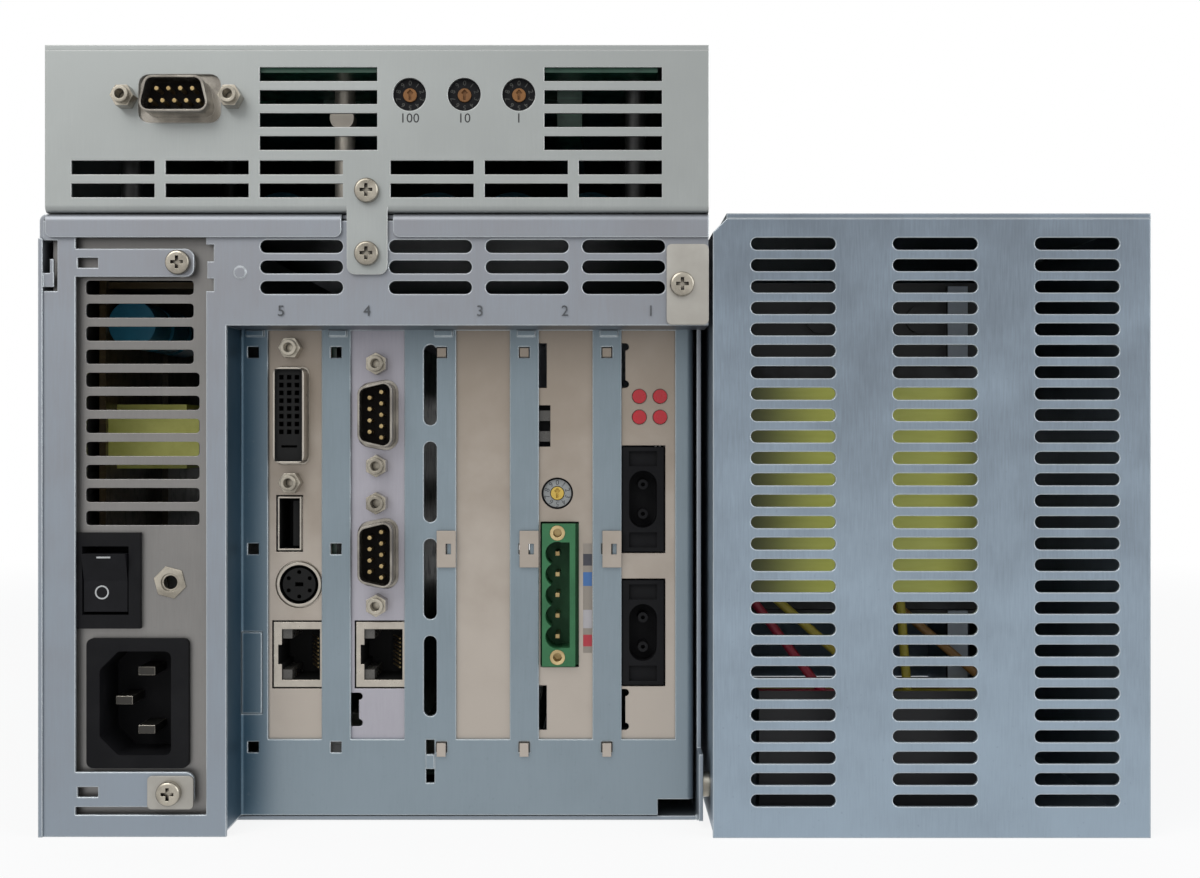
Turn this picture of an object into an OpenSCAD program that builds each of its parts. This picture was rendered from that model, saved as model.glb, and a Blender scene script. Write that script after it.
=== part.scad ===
/* [Main chassis] */
// Width of the main chassis, from its left cover to the right end of its front strip
chassis_w = 158; // [154:1:170]
// Height of the main chassis
chassis_h = 147; // [145:1:158]
// Depth of every case, from the front lips to the rear panels
case_d = 240; // [225:5:280]
// Thickness of the zinc-plated sheet
sheet_t = 1; // [0.8:0.1:1.2]
// Outer radius of the sheet bends
bend_r = 1.6; // [1.4:0.1:2.2]
// Width of the column on the left that holds the power supply
column_w = 44.2; // [44:0.1:48]
// Height of the vented strip above the card bay
strip_h = 26.3; // [25:0.1:29]
// Height of the lip that the top cover folds over the front
lip_h = 5.6; // [4.8:0.1:7]

/* [Card bay] */
// Depth of the card bay behind the front face
bay_d = 15; // [13:0.5:20]
// Distance between neighbouring card slots
slot_pitch = 20.32; // [20.2:0.02:20.6]
// Extra distance between slots 3 and 4, where the vented bar stands
vent_bar_extra = 5.6; // [5.2:0.1:6]
// Width of each slot opening
slot_w = 13.2; // [13:0.1:13.6]
// Gap between the top of the slot openings and the strip above them
slot_top_gap = 0.1; // [0.1:0.1:1]
// Height of the slot openings above the floor
slot_z = 20.1; // [19.5:0.1:22]
// Width of a card bracket
bracket_w = 17.6; // [17.4:0.1:17.8]
// Thickness of a card bracket
bracket_t = 0.9; // [0.8:0.1:1]
// Length of the circuit boards on the cards
card_l = 165; // [120:5:174]

/* [Backup power unit] */
// Height of the backup power unit on top of the chassis
backup_h = 39.6; // [38:0.2:46]
// Thickness of the covers of the backup and side units
cover_t = 1.2; // [1:0.1:1.5]

/* [Side unit] */
// Width of the side unit
side_w = 103; // [100:1:120]
// Gap between the front faces of the chassis and the side unit
unit_gap = 1; // [0.6:0.1:1.5]
// Number of vent rows in the side unit's face
side_rows = 27; // [20:1:27]

/* [Vents] */
// Length of the round-ended vent slots in the chassis strip
vent_l = 19.6; // [17:0.1:20]
// Height of the round-ended vent slots in the chassis strip
vent_h = 3.1; // [2.5:0.1:3.4]
// Height of the square-ended vent slots in the backup unit
backup_vent_h = 3.3; // [2.6:0.1:3.8]
// Length of the round-ended vent slots in the side unit
side_vent_l = 20; // [17:0.5:22]
// Height of the round-ended vent slots in the side unit
side_vent_h = 2.9; // [2.2:0.1:3.4]

/* [Power supply] */
// Width of the power supply
psu_w = 40; // [39:0.1:40.2]
// Depth of the power supply
psu_d = 150; // [130:5:170]
// Thickness of the power supply's sheet
psu_t = 0.8; // [0.6:0.1:1]
// Angle that the rocker turns between off and on
rocker_swing = 16; // [12:1:18]

/* [Fans] */
// Side of the square chassis fan
main_fan_size = 80; // [70:5:80]
// Side of the square side unit fan
side_fan_size = 60; // [50:5:70]
// Depth of both fans
fan_d = 20; // [18:1:25]

/* [Mounting] */
// Radius of the four fixing holes in the base
foot_hole_r = 2.15; // [1.6:0.05:2.6]
// Distance between the fixing holes across the base
foot_hole_dx = 130; // [100:5:135]
// Distance of the fixing holes from the front and from the rear
foot_hole_inset = 30; // [25:1:45]

/* [Hidden] */

// Facets of round features, and of the arcs that round an outline's corners
$fn = 48;
corner_steps = 5;
// Overrun of every cut past the surface that it opens
cut = 1;
// Clearance between pieces that meet without a fit, and of a pin that turns in its bore
seat_gap = 0.2;
run_gap = 0.06;

// Planes of the frame: the origin is on the floor, at the middle of the width and of the depth
total_w = chassis_w + unit_gap + side_w;
left_x = -total_w / 2;
chassis_x1 = left_x + chassis_w;
side_x = chassis_x1 + unit_gap;
side_x1 = side_x + side_w;
lip_y = -case_d / 2;
rear_y = case_d / 2;
face_y = lip_y + sheet_t;
inner_y = face_y + sheet_t;
bay_y = face_y + bay_d;
behind_bay_y = bay_y + sheet_t;
under_top_z = chassis_h - sheet_t;
front_top_z = chassis_h - bend_r;
lip_z = chassis_h - lip_h;
bay_x0 = left_x + column_w;
bay_top = chassis_h - strip_h;
slot_h = bay_top - slot_top_gap - slot_z;

// Right wall of the tray, set in from the strip's end, and the ear on its lower front corner
wall_inset = 0.8;
wall_x1 = chassis_x1 - wall_inset;
ear_l = 8;
ear_z = 2;
ear_h = 16;
// Right edge of the slot panel, and the return that it folds back
panel_inset = 2.6;
bay_x1 = chassis_x1 - panel_inset;
return_l = 12;
flange_l = 12;

// Slot centres: slot 1 is beside the right wall, and the numbers run to the left
slot1_inset = 13.7;
slot_count = 5;
function slot_x(n) = chassis_x1 - slot1_inset - (n - 1) * slot_pitch - (n > 3 ? vent_bar_extra : 0);
// Square holes beside each slot: their offset, side and three heights
hole_offset = 10.2;
hole_side = 2.7;
hole_low_down = 1.9;
hole_low_z = slot_z - hole_low_down;
hole_mid_up = 46.8;
hole_mid_z = slot_z + hole_mid_up;
hole_top_drop = 5.4;
hole_top_z = slot_z + slot_h - hole_top_drop;
function hole_x(n) = slot_x(n) - hole_offset;
bracket_y = behind_bay_y;
back_y = bracket_y + bracket_t;

// Card boards: thickness, and how far their connector faces stand from the slot centre
board_t = 1.6;
board_offset = 8.2;
card_gap = 1;
card_y = back_y + card_gap;
card_z = 22;
card_top_gap = 4;
edge_l = 85;
edge_start = 42;
function board_x(n) = slot_x(n) + board_offset;

// Corner arc of radius r at p, between the directions to a and b
function unit(v) = v / norm(v);
function turn(d) = d > 180 ? d - 360 : d < -180 ? d + 360 : d;
function corner(a, p, b, r) =
  let (
    u = unit(a - p),
    v = unit(b - p),
    half = acos(u * v) / 2,
    c = p + unit(u + v) * r / sin(half),
    s = p + u * r / tan(half) - c,
    e = p + v * r / tan(half) - c,
    a0 = atan2(s[1], s[0]),
    sweep = turn(atan2(e[1], e[0]) - a0)
  )
  [for (i = [0:corner_steps]) c + r * [cos(a0 + sweep * i / corner_steps),
    sin(a0 + sweep * i / corner_steps)]];
function rounded(pts, r) =
  let (n = len(pts))
  [for (i = [0:n - 1]) each corner(pts[(i + n - 1) % n], pts[i], pts[(i + 1) % n], r)];
function box_points(w, h) = [[0, 0], [w, 0], [w, h], [0, h]];

// Flat drawings: a box from its lower corner, a round-ended slot from its lower corner
module rounded_box(w, h, r) {
  polygon(rounded(box_points(w, h), r));
}
module round_slot(l, h) {
  translate([h / 2, 0]) square([l - h, h]);
  translate([h / 2, h / 2]) circle(h / 2);
  translate([l - h / 2, h / 2]) circle(h / 2);
}
// A window centred on x and z and grown by g, and one with corners of radius r
module window(x, z, w, h, g) {
  translate([x, z]) square([w + 2 * g, h + 2 * g], center = true);
}
module round_window(x, z, w, h, r) {
  translate([x - w / 2, z - h / 2]) rounded_box(w, h, r);
}
// A drawing in X and Z raised into a plate from y to y + t
module plate_y(y, t) {
  translate([0, y + t, 0]) rotate([90, 0, 0]) linear_extrude(t) children();
}
// A drawing in Y and Z raised into a plate from x to x + t
module plate_x(x, t) {
  translate([x, 0, 0]) rotate([90, 0, 90]) linear_extrude(t) children();
}
// A rod or bore along Y from y to y + l, and one along X from x to x + l
module rod_y(x, y, z, r, l) {
  translate([x, y + l, z]) rotate([90, 0, 0]) cylinder(h = l, r = r);
}
module rod_x(x, y, z, r, l) {
  translate([x, y, z]) rotate([0, 90, 0]) cylinder(h = l, r = r);
}
module box_at(x, y, z, w, d, h) {
  translate([x, y, z]) cube([w, d, h]);
}
// A box from y on, centred on x and z
module block(x, y, z, w, d, h) {
  translate([x - w / 2, y, z - h / 2]) cube([w, d, h]);
}
// Quarter of a bend, centred on the origin, with its outside towards sx and sy
module quarter_bend(sx, sy, r, t) {
  intersection() {
    difference() {
      circle(r);
      circle(r - t);
    }
    translate([sx < 0 ? -r : 0, sy < 0 ? -r : 0]) square(r);
  }
}

zinc = [0.66, 0.71, 0.75];
nickel = [0.72, 0.69, 0.63];
black = [0.06, 0.06, 0.065];
brass = [0.75, 0.62, 0.35];
board_green = [0.05, 0.25, 0.16];

// Power supply: its place in the column and the window in front of it
bezel_t = 1.6;
psu_x0 = left_x + 2 * sheet_t + seat_gap * 2;
psu_y0 = inner_y + bezel_t + seat_gap;
psu_z0 = sheet_t;
psu_top_gap = 5;
psu_h = chassis_h - psu_top_gap;
window_inset = 8.6;
window_x0 = left_x + window_inset;
window_w = 30.9;
window_z0 = 5.2;
window_drop = 5.5;
window_h = chassis_h - window_drop - window_z0;
// Arms of the front panel that hold the supply, each with a small slot at its root
arm_l = 28;
arm_root = 1.5;
arm_r = 2;
top_arm_drop = 14.8;
top_arm_z = chassis_h - top_arm_drop;
top_arm_h = 6.6;
low_arm_z = 7.1;
low_arm_h = 8.2;
arm_slot_l = 4.9;
arm_slot_h = 2.4;
arm_slot_inset = 0.5;
top_screw_inset = 3.6;
low_screw_inset = 5.6;
arm_x1 = window_x0 + arm_l;
top_screw_z = top_arm_z + top_arm_h / 2;
low_screw_drop = 0.6;
low_screw_z = low_arm_z + low_arm_h / 2 - low_screw_drop;
low_screw_x = arm_x1 - low_screw_inset;
PSU_SCREWS = [[arm_x1 - top_screw_inset, top_screw_z], [low_screw_x, low_screw_z]];

// Vents in the strip: three rows, in columns set out from the right end
vent_rows = 3;
vent_pitch = 4.85;
vent_dx = 22.8;
strip_gap_dx = 30.4;
vent_inset = 10.2;
vent_top = 6.1;
function vent_x(i) =
  chassis_x1 - vent_inset - vent_l - i * vent_dx - (i > 2 ? strip_gap_dx -
    vent_dx : 0);
// Notches: the left takes the side cover's hook, the right the tongue by the window
notch_w = 2.2;
notch_h = 12;
notch_drop = 18.2;
notch_z = chassis_h - notch_drop;
notch_inset = 2.2;
left_notch_x = left_x + notch_inset;
inner_notch_w = 1.8;
inner_notch_x = window_x0 + window_w;
dimple_r = 1.4;
dimple_drop = 13.8;
dimple_z = chassis_h - dimple_drop;
dimple_inset = 3.3;
dimple_h = 0.4;

module front_panel() {
  color(zinc) {
    difference() {
      union() {
        plate_y(face_y, sheet_t) difference() {
          union() {
            translate([left_x + sheet_t, 0]) square([column_w - sheet_t, front_top_z]);
            translate([bay_x0, bay_top]) square([chassis_x1 - bay_x0, front_top_z - bay_top]);
          }
          difference() {
            translate([window_x0, window_z0]) square([window_w, window_h]);
            front_arm(top_arm_z, top_arm_h);
            front_arm(low_arm_z, low_arm_h);
          }
          for (z = [top_screw_z, low_screw_z])
            translate([window_x0 + arm_slot_inset, z - arm_slot_h / 2]) square([arm_slot_l, arm_slot_h]);
          for (i = [0:3], row = [0:vent_rows - 1])
            translate([vent_x(i), chassis_h - vent_top - vent_h - row * vent_pitch])
              round_slot(vent_l, vent_h);
          translate([left_x, notch_z]) square([left_notch_x - left_x + notch_w, notch_h]);
          translate([inner_notch_x - cut, notch_z]) square([inner_notch_w + cut, notch_h - sheet_t]);
        }
        box_at(left_x + sheet_t, inner_y - sheet_t / 2, 0, sheet_t, flange_l, notch_z);
        box_at(left_x + sheet_t, inner_y - sheet_t / 2, notch_z + notch_h, sheet_t, flange_l,
          front_top_z - notch_z - notch_h);
        box_at(bay_x0, face_y, bay_top, chassis_x1 - bay_x0, bay_d - seat_gap, sheet_t);
        rod_y(bay_x0 + dimple_inset, face_y - dimple_h, dimple_z, dimple_r, dimple_h + sheet_t / 2);
      }
      for (s = [each PSU_SCREWS, [tab_mid_x, tab_screw_z], [tie_x, tie_z]])
        rod_y(s[0], face_y - cut, s[1], screw_r, sheet_t + 2 * cut);
    }
    plate_y(face_y, sheet_t) translate([inner_notch_x + sheet_t / 4, notch_z + notch_h / 4])
      square([inner_notch_w - sheet_t / 4, notch_h / 3]);
  }
}
module front_arm(z, h) {
  translate([window_x0 - arm_root, z]) rounded_box(arm_l + arm_root, h, arm_r);
  translate([window_x0 - arm_root, z]) square([arm_l / 2, h]);
}

// Slot panel: its foot, the ovals in the vented bar and the cut-outs below the slots
panel_z = 1.5;
panel_over = 3;
oval_w = 3.2;
oval_l = 19.8;
oval_pitch = 23.85;
oval_count = 4;
oval_z = 97.3;
bar_x = slot_x(4) + slot_w / 2 + (slot_pitch + vent_bar_extra - slot_w) / 2;
hook_w = 2.1;
hook_l = 10.6;
hook_z = 9.4;
foot_notch_w = 8.8;
foot_notch_h = 3.9;
bump_w = 4.4;
bump_h = 1.4;
bump_d = 1.2;
bump_side = 5.3;
// Knock-out groove across the corner of the bay
knock_z = 26.3;
knock_h = 20.3;
knock_w = 5.3;
groove = 0.25;

module slot_panel() {
  color(zinc) difference() {
    union() {
      translate([0, 0, panel_z]) linear_extrude(bay_top + panel_over - panel_z) panel_profile();
      for (n = [1:slot_count])
        box_at(slot_x(n) - slot_w / 2 - bump_side, bay_y - bump_d, bay_top - bump_h - seat_gap,
          bump_w, bump_d + sheet_t / 2, bump_h);
      box_at(bar_x - hook_w / 2, bay_y - sheet_t / 2, hook_z + hook_l / 3, hook_w, sheet_t, hook_l / 3);
    }
    plate_y(bay_y - cut, sheet_t + 2 * cut) {
      for (n = [1:slot_count])
        translate([slot_x(n) - slot_w / 2, slot_z]) square([slot_w, slot_h]);
      for (i = [0:oval_count - 1])
        translate([bar_x + oval_w / 2, oval_z - i * oval_pitch]) rotate(90) round_slot(oval_l, oval_w);
      for (n = [1:slot_count], z = [hole_low_z, hole_mid_z, hole_top_z])
        translate([hole_x(n), z]) square(hole_side, center = true);
      translate([bar_x - hook_w / 2, hook_z]) square([hook_w, hook_l / 3]);
      translate([bar_x - hook_w / 2, hook_z + hook_l * 2 / 3]) square([hook_w, hook_l / 3]);
      translate([bay_x1 - foot_notch_w, panel_z - cut]) square([foot_notch_w + cut, foot_notch_h + cut]);
    }
    box_at(bay_x1 - foot_notch_w, bay_y - cut, panel_z - cut, foot_notch_w + cut, return_l + 2 * cut,
      foot_notch_h + cut);
    box_at(bay_x0 - sheet_t - cut, inner_y - cut, bay_top, 2 * sheet_t + cut, bay_d - sheet_t,
      panel_over + cut);
    plate_y(bay_y - groove, 2 * groove) translate([bay_x0 + bend_r, knock_z]) difference() {
      knock_outline(0);
      knock_outline(groove);
    }
  }
}
module knock_outline(inset) {
  translate([inset - bend_r, inset]) square([knock_w - 2 * inset, knock_h - 2 * inset]);
}
module panel_profile() {
  translate([bay_x0 - sheet_t, inner_y])
    square([sheet_t, bay_y + sheet_t - bend_r - inner_y]);
  translate([bay_x0 - sheet_t + bend_r, behind_bay_y - bend_r]) quarter_bend(-1, 1, bend_r, sheet_t);
  translate([bay_x0 - sheet_t + bend_r, bay_y])
    square([bay_x1 - bay_x0 + sheet_t - 2 * bend_r, sheet_t]);
  translate([bay_x1 - bend_r, bay_y + bend_r]) quarter_bend(1, -1, bend_r, sheet_t);
  translate([bay_x1 - sheet_t, bay_y + bend_r]) square([sheet_t, return_l - bend_r]);
}

// Base tray: floor, short left flange, right wall with its ear, and four fixing holes
module base_tray() {
  color(zinc) difference() {
    union() {
      translate([0, rear_y - sheet_t, 0]) rotate([90, 0, 0])
        linear_extrude(rear_y - sheet_t - inner_y) tray_profile();
      box_at(wall_x1 - sheet_t, bay_y - ear_l, ear_z, sheet_t, ear_l + sheet_t, ear_h);
    }
    box_at(bay_x0 - sheet_t - seat_gap, inner_y - cut, -cut,
      wall_x1 - sheet_t - bay_x0 + sheet_t + seat_gap,
      behind_bay_y + seat_gap - inner_y + cut, chassis_h + cut);
    box_at(wall_x1 - sheet_t - cut, inner_y - cut, ear_z + ear_h, sheet_t + 2 * cut,
      bay_y - inner_y + cut, chassis_h);
    box_at(wall_x1 - sheet_t - bend_r, inner_y - cut, -cut, bend_r + sheet_t + cut,
      bay_y - inner_y + cut, ear_z + cut);
    box_at(wall_x1 - sheet_t - cut, inner_y - cut, ear_z - cut, sheet_t + 2 * cut,
      bay_y - ear_l - inner_y + cut, ear_h + 2 * cut);
    box_at(left_x, inner_y - cut, -cut, 3 * sheet_t, flange_l + cut, chassis_h);
    for (x = [-1, 1], y = [lip_y + foot_hole_inset, rear_y - foot_hole_inset])
      translate([tray_mid_x + x * foot_hole_dx / 2, y, -cut])
        cylinder(h = sheet_t + 2 * cut, r = foot_hole_r);
  }
}
tray_mid_x = (left_x + wall_x1) / 2;
module tray_profile() {
  translate([left_x + sheet_t + bend_r, 0]) square([wall_x1 - left_x - sheet_t - 2 * bend_r, sheet_t]);
  translate([left_x + sheet_t + bend_r, bend_r]) quarter_bend(-1, -1, bend_r, sheet_t);
  translate([left_x + sheet_t, bend_r]) square([sheet_t, flange_l]);
  translate([wall_x1 - bend_r, bend_r]) quarter_bend(1, -1, bend_r, sheet_t);
  translate([wall_x1 - sheet_t, bend_r]) square([sheet_t, under_top_z - bend_r]);
}

// Left cover: a flat side with a top return, and the hook that shows in the front notch
tongue_down = 5;
tongue_t = 0.7;
hook_t = 0.8;
hook_h = 6.6;
hook_y = face_y + (sheet_t - hook_t) / 2;
module left_cover() {
  color(zinc) {
    plate_x(left_x, sheet_t) translate([lip_y + sheet_t / 2, 0])
      square([case_d - sheet_t, lip_z - seat_gap]);
    box_at(left_x + sheet_t, lip_y + 2 * flange_l, lip_z - tongue_down, tongue_t, case_d - 4 * flange_l,
      tongue_down + lip_h / 2);
    box_at(left_x + sheet_t / 2, lip_y + 2 * flange_l, lip_z - tongue_down, tongue_t,
      case_d - 4 * flange_l, tongue_down / 2);
    box_at(left_x + sheet_t / 2, hook_y, notch_z + sheet_t, left_notch_x - left_x + hook_t, hook_t,
      hook_h / 2);
    box_at(left_notch_x + hook_t / 2, hook_y, notch_z + sheet_t, hook_t, hook_t, hook_h);
  }
}

// Top cover: the lip over the front is open where the backup unit's tab comes down
tab_w = 9.6;
tab_dx = 28.6;
tab_x = bay_x0 + tab_dx;
tab_drop = 14.4;
tab_z = chassis_h - tab_drop;
tab_r = 2;
tab_room = 1.3;
lip_r = 1.6;
lip_inset = 1.8;
tab_mid_x = tab_x + tab_w / 2;
tab_screw_up = 4.9;
tab_screw_z = tab_z + tab_screw_up;
module top_cover() {
  color(zinc) difference() {
    union() {
      box_at(left_x + bend_r, lip_y + bend_r, under_top_z, chassis_w - bend_r, case_d - bend_r, sheet_t);
      translate([0, rear_y, 0]) rotate([90, 0, 0]) linear_extrude(case_d - bend_r) {
        translate([left_x + bend_r, chassis_h - bend_r]) quarter_bend(-1, 1, bend_r, sheet_t);
        translate([left_x, lip_z]) square([sheet_t, lip_h - bend_r]);
      }
      plate_x(left_x + lip_inset, chassis_w - lip_inset) {
        translate([lip_y + bend_r, chassis_h - bend_r]) quarter_bend(-1, 1, bend_r, sheet_t);
        translate([lip_y, lip_z]) square([sheet_t, lip_h - bend_r]);
      }
    }
    box_at(tab_x - tab_room, lip_y - cut, lip_z - cut, tab_w + 2 * tab_room, sheet_t + bend_r + cut,
      lip_h + 2 * cut);
    plate_y(lip_y - cut, sheet_t + cut) {
      lip_corner(left_x + lip_inset, 1);
      lip_corner(tab_x - tab_room, -1);
      lip_corner(tab_x + tab_w + tab_room, 1);
    }
  }
}
// The waste outside a rounded lower corner of the lip, at x, on the side that s says
module lip_corner(x, s) {
  translate([x, lip_z]) difference() {
    translate([s < 0 ? -lip_r : -cut, -cut]) square([lip_r + cut, lip_r + cut]);
    translate([s * lip_r, lip_r]) circle(lip_r);
  }
}

// Fan openings: a ring of round-ended slots over the fan and its four screw holes
fan_inset = 4;
fan_screw_r = 2.2;
fan_slot_h = 3;
fan_pitch = 5.4;
module fan_vents(x, z, size) {
  reach = size / 2 - fan_inset;
  rows = floor(reach / fan_pitch);
  translate([x, z]) {
    for (i = [-rows:rows])
      let (
        h = i * fan_pitch,
        l = 2 * sqrt(reach * reach - h * h)
      )
      if (l > 3 * fan_slot_h)
        translate([-l / 2, h - fan_slot_h / 2]) round_slot(l, fan_slot_h);
    for (sx = [-1, 1], sz = [-1, 1])
      translate([sx, sz] * (size / 2 - fan_inset)) circle(fan_screw_r);
  }
}
main_fan_x = (bay_x0 + bay_x1) / 2;
main_fan_z = chassis_h / 2;
side_fan_x = side_x + side_w / 2;
side_fan_z = chassis_h / 2;
// Vents behind the power supply
rear_vent_rows = 14;
module rear_panel() {
  color(zinc) {
    plate_y(rear_y - sheet_t, sheet_t) difference() {
      translate([left_x + sheet_t, 0]) square([wall_x1 - left_x - sheet_t, under_top_z]);
      translate([left_x, front_top_z]) square(bend_r);
      fan_vents(main_fan_x, main_fan_z, main_fan_size);
      for (i = [0:rear_vent_rows - 1])
        translate([psu_x0 + psu_w / 2 - vent_l / 2, chassis_h / 6 + i * fan_pitch])
          round_slot(vent_l, fan_slot_h);
    }
  }
}

// Studs that carry the side unit on the chassis wall
stud_r = 3;
stud_z = 10;
module unit_studs() {
  color(nickel)
    for (y = [bay_y - ear_l / 2, rear_y - flange_l], z = [stud_z, chassis_h - flange_l - bend_r])
      rod_x(wall_x1, z > chassis_h / 2 ? max(y, bay_y + ear_l) : y, z, stud_r, side_x - wall_x1);
}
// Bracket that ties the side unit to the front strip
hinge_w = 9.9;
hinge_h = 19;
hinge_r = 1.2;
hinge_drop = 7.2;
hinge_z = chassis_h - hinge_drop - hinge_h;
tie_dx = 6.3;
tie_x = chassis_x1 - tie_dx;
tie_z = hinge_z + hinge_h / 2;
module hinge_bracket() {
  color(nickel) difference() {
    plate_y(lip_y, sheet_t)
      round_window(chassis_x1 - hinge_w / 2, tie_z, hinge_w, hinge_h, hinge_r);
    rod_y(tie_x, lip_y - cut, tie_z, screw_r, sheet_t + 2 * cut);
  }
}

// Pan head screws with a cross recess
screw_r = 1.5;
head_r = 2.9;
head_h = 1.9;
head_edge = 0.7;
screw_l = 5;
cross_w = 0.8;
cross_l = 3;
cross_d = 1.2;
module pan_screw(x, y, z) {
  difference() {
    union() {
      translate([x, y, z]) rotate([90, 0, 0]) rotate_extrude() {
        square([head_r, head_h - head_edge]);
        translate([0, head_h - head_edge]) square([head_r - head_edge, head_edge]);
        translate([head_r - head_edge, head_h - head_edge]) circle(head_edge);
      }
      rod_y(x, y, z, screw_r, screw_l);
    }
    block(x, y - head_h - cut, z, cross_w, cross_d + cut, cross_l);
    block(x, y - head_h - cut, z, cross_l, cross_d + cut, cross_w);
  }
}
upper_screw_up = 5.3;
upper_screw_z = chassis_h + upper_screw_up;
module panel_screws() {
  color(nickel) {
    pan_screw(tab_mid_x, lip_y, upper_screw_z);
    pan_screw(tab_mid_x, lip_y, tab_screw_z);
    pan_screw(tie_x, lip_y, tie_z);
    for (i = [0, 1]) pan_screw(PSU_SCREWS[i][0], face_y - i * clamp_t, PSU_SCREWS[i][1]);
  }
}

// Grounding clips in the holes beside slots 1 to 3
clip_t = 0.5;
clip_w = 2.2;
clip_reach = 4.7;
clip_h = 9;
clip_window = 2.6;
clip_lug = 3.3;
clip_lug_t = 0.75;
module ground_clips() {
  color(nickel) for (n = [1:3]) difference() {
    union() {
      box_at(hole_x(n) - clip_w / 2, behind_bay_y, hole_low_z - clip_w / 2, clip_w, clip_t,
        hole_top_z - hole_low_z + clip_w);
      for (z = [hole_low_z, hole_mid_z, hole_top_z])
        block(hole_x(n), bay_y - (z == hole_top_z ? 0 : clip_t), z, clip_w,
          sheet_t + clip_t + (z == hole_top_z ? 0 : clip_t), clip_w);
      box_at(hole_x(n) - clip_w / 2, bay_y - 2 * clip_t, hole_mid_z - clip_h / 2, clip_reach, clip_t,
        clip_h);
      block(hole_x(n), bay_y - 2 * clip_t, hole_mid_z, clip_w, 2 * clip_t, clip_w);
      box_at(hole_x(n) - clip_w / 2, bay_y - 2 * clip_t, hole_low_z - clip_w, clip_w, clip_lug_t,
        clip_lug);
    }
    box_at(hole_x(n) + clip_w / 2, bay_y - 2 * clip_t - cut, hole_mid_z - clip_window / 2,
      clip_window / 2, clip_t + cut + clip_t / 2, clip_window);
  }
}

// Backup power unit: a tray whose face carries the vents, and a cover that closes it
backup_x0 = left_x + lip_inset;
backup_x1 = chassis_x1;
backup_w = backup_x1 - backup_x0;
backup_z0 = chassis_h + seat_gap;
backup_top = chassis_h + backup_h;
face_top = backup_top - cover_t;
// Vent columns: full rows below, short rows above that leave room for the dials
backup_rows = 6;
row_pitch = 5.4;
backup_row_drop = 5.2;
backup_gap_row = 5.75;
backup_vent_w = 19.6;
backup_pitch = 22.15;
backup_inset_x = 6.2;
vent_centre_gap = 30.8;
short_vent_w = 27.7;
upper_rows = 4;
function backup_vent_x(i) =
  backup_x0 + backup_inset_x + i * backup_pitch + (i > 2 ? vent_centre_gap -
    backup_pitch : 0);
function backup_row_z(i) =
  backup_top - backup_row_drop - backup_vent_h - i * row_pitch + (i > 3 ? row_pitch -
    backup_gap_row : 0);
// Serial port and dials
serial_dx = 31.7;
serial_x = backup_x0 + serial_dx;
serial_drop = 12.6;
serial_z = backup_top - serial_drop;
dial_hole_r = 3.9;
dial_pitch = 12.85;
dial_dx = 85.8;
dial_x = backup_x0 + dial_dx;
dial_drop = 11.6;
dial_z = backup_top - dial_drop;
function dial_cx(i) = dial_x + i * dial_pitch;

module backup_chassis() {
  color([0.66, 0.68, 0.68]) {
    difference() {
      union() {
        plate_y(lip_y, sheet_t) difference() {
          union() {
            translate([backup_x0, backup_z0 + bend_r]) square([backup_w,
              face_top - backup_z0 - bend_r]);
            translate([tab_x, tab_z]) rounded_box(tab_w, backup_z0 - tab_z, tab_r);
            translate([tab_x, backup_z0 - tab_r * 2]) square([tab_w, bend_r + tab_r * 2 + cut]);
          }
          for (i = [0:5], row = [upper_rows:backup_rows - 1])
            translate([backup_vent_x(i), backup_row_z(row)]) square([backup_vent_w, backup_vent_h]);
          for (row = [0:upper_rows - 1]) {
            translate([backup_vent_x(2), backup_row_z(row)]) square([short_vent_w, backup_vent_h]);
            translate([backup_vent_x(5) - short_vent_w + backup_vent_w, backup_row_z(row)])
              square([short_vent_w, backup_vent_h]);
          }
          for (i = [0:2])
            translate([dial_cx(i), dial_z]) circle(dial_hole_r);
          round_window(serial_x, serial_z, dsub_cut_w, dsub_cut_h, dsub_cut_r);
          for (s = [-1, 1])
            translate([serial_x + s * dsub_pitch / 2, serial_z]) circle(thread_r);
        }
        plate_x(backup_x0, backup_w) {
          difference() {
            translate([lip_y + bend_r, backup_z0 + bend_r]) quarter_bend(-1, -1, bend_r, sheet_t);
            translate([lip_y, backup_top]) square(cut);
          }
          translate([lip_y + bend_r, backup_z0]) square([case_d - 2 * bend_r, sheet_t]);
          translate([rear_y - bend_r, backup_z0 + bend_r]) quarter_bend(1, -1, bend_r, sheet_t);
          translate([rear_y - sheet_t, backup_z0 + bend_r]) square([sheet_t,
            face_top - backup_z0 - bend_r]);
        }
      }
      rod_y(tab_mid_x, lip_y - cut, upper_screw_z, screw_r, sheet_t + 2 * cut);
      rod_y(tab_mid_x, lip_y - cut, tab_screw_z, screw_r, sheet_t + 2 * cut);
    }
  }
}
module backup_cover() {
  color([0.66, 0.68, 0.68]) {
    box_at(backup_x0, lip_y, face_top, backup_w, case_d, cover_t);
    for (x = [backup_x0, backup_x1 - cover_t])
      box_at(x, lip_y + sheet_t + seat_gap, backup_z0 + sheet_t + seat_gap, cover_t,
        case_d - 2 * sheet_t - 2 * seat_gap, face_top - backup_z0 - sheet_t - seat_gap);
  }
}

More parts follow.
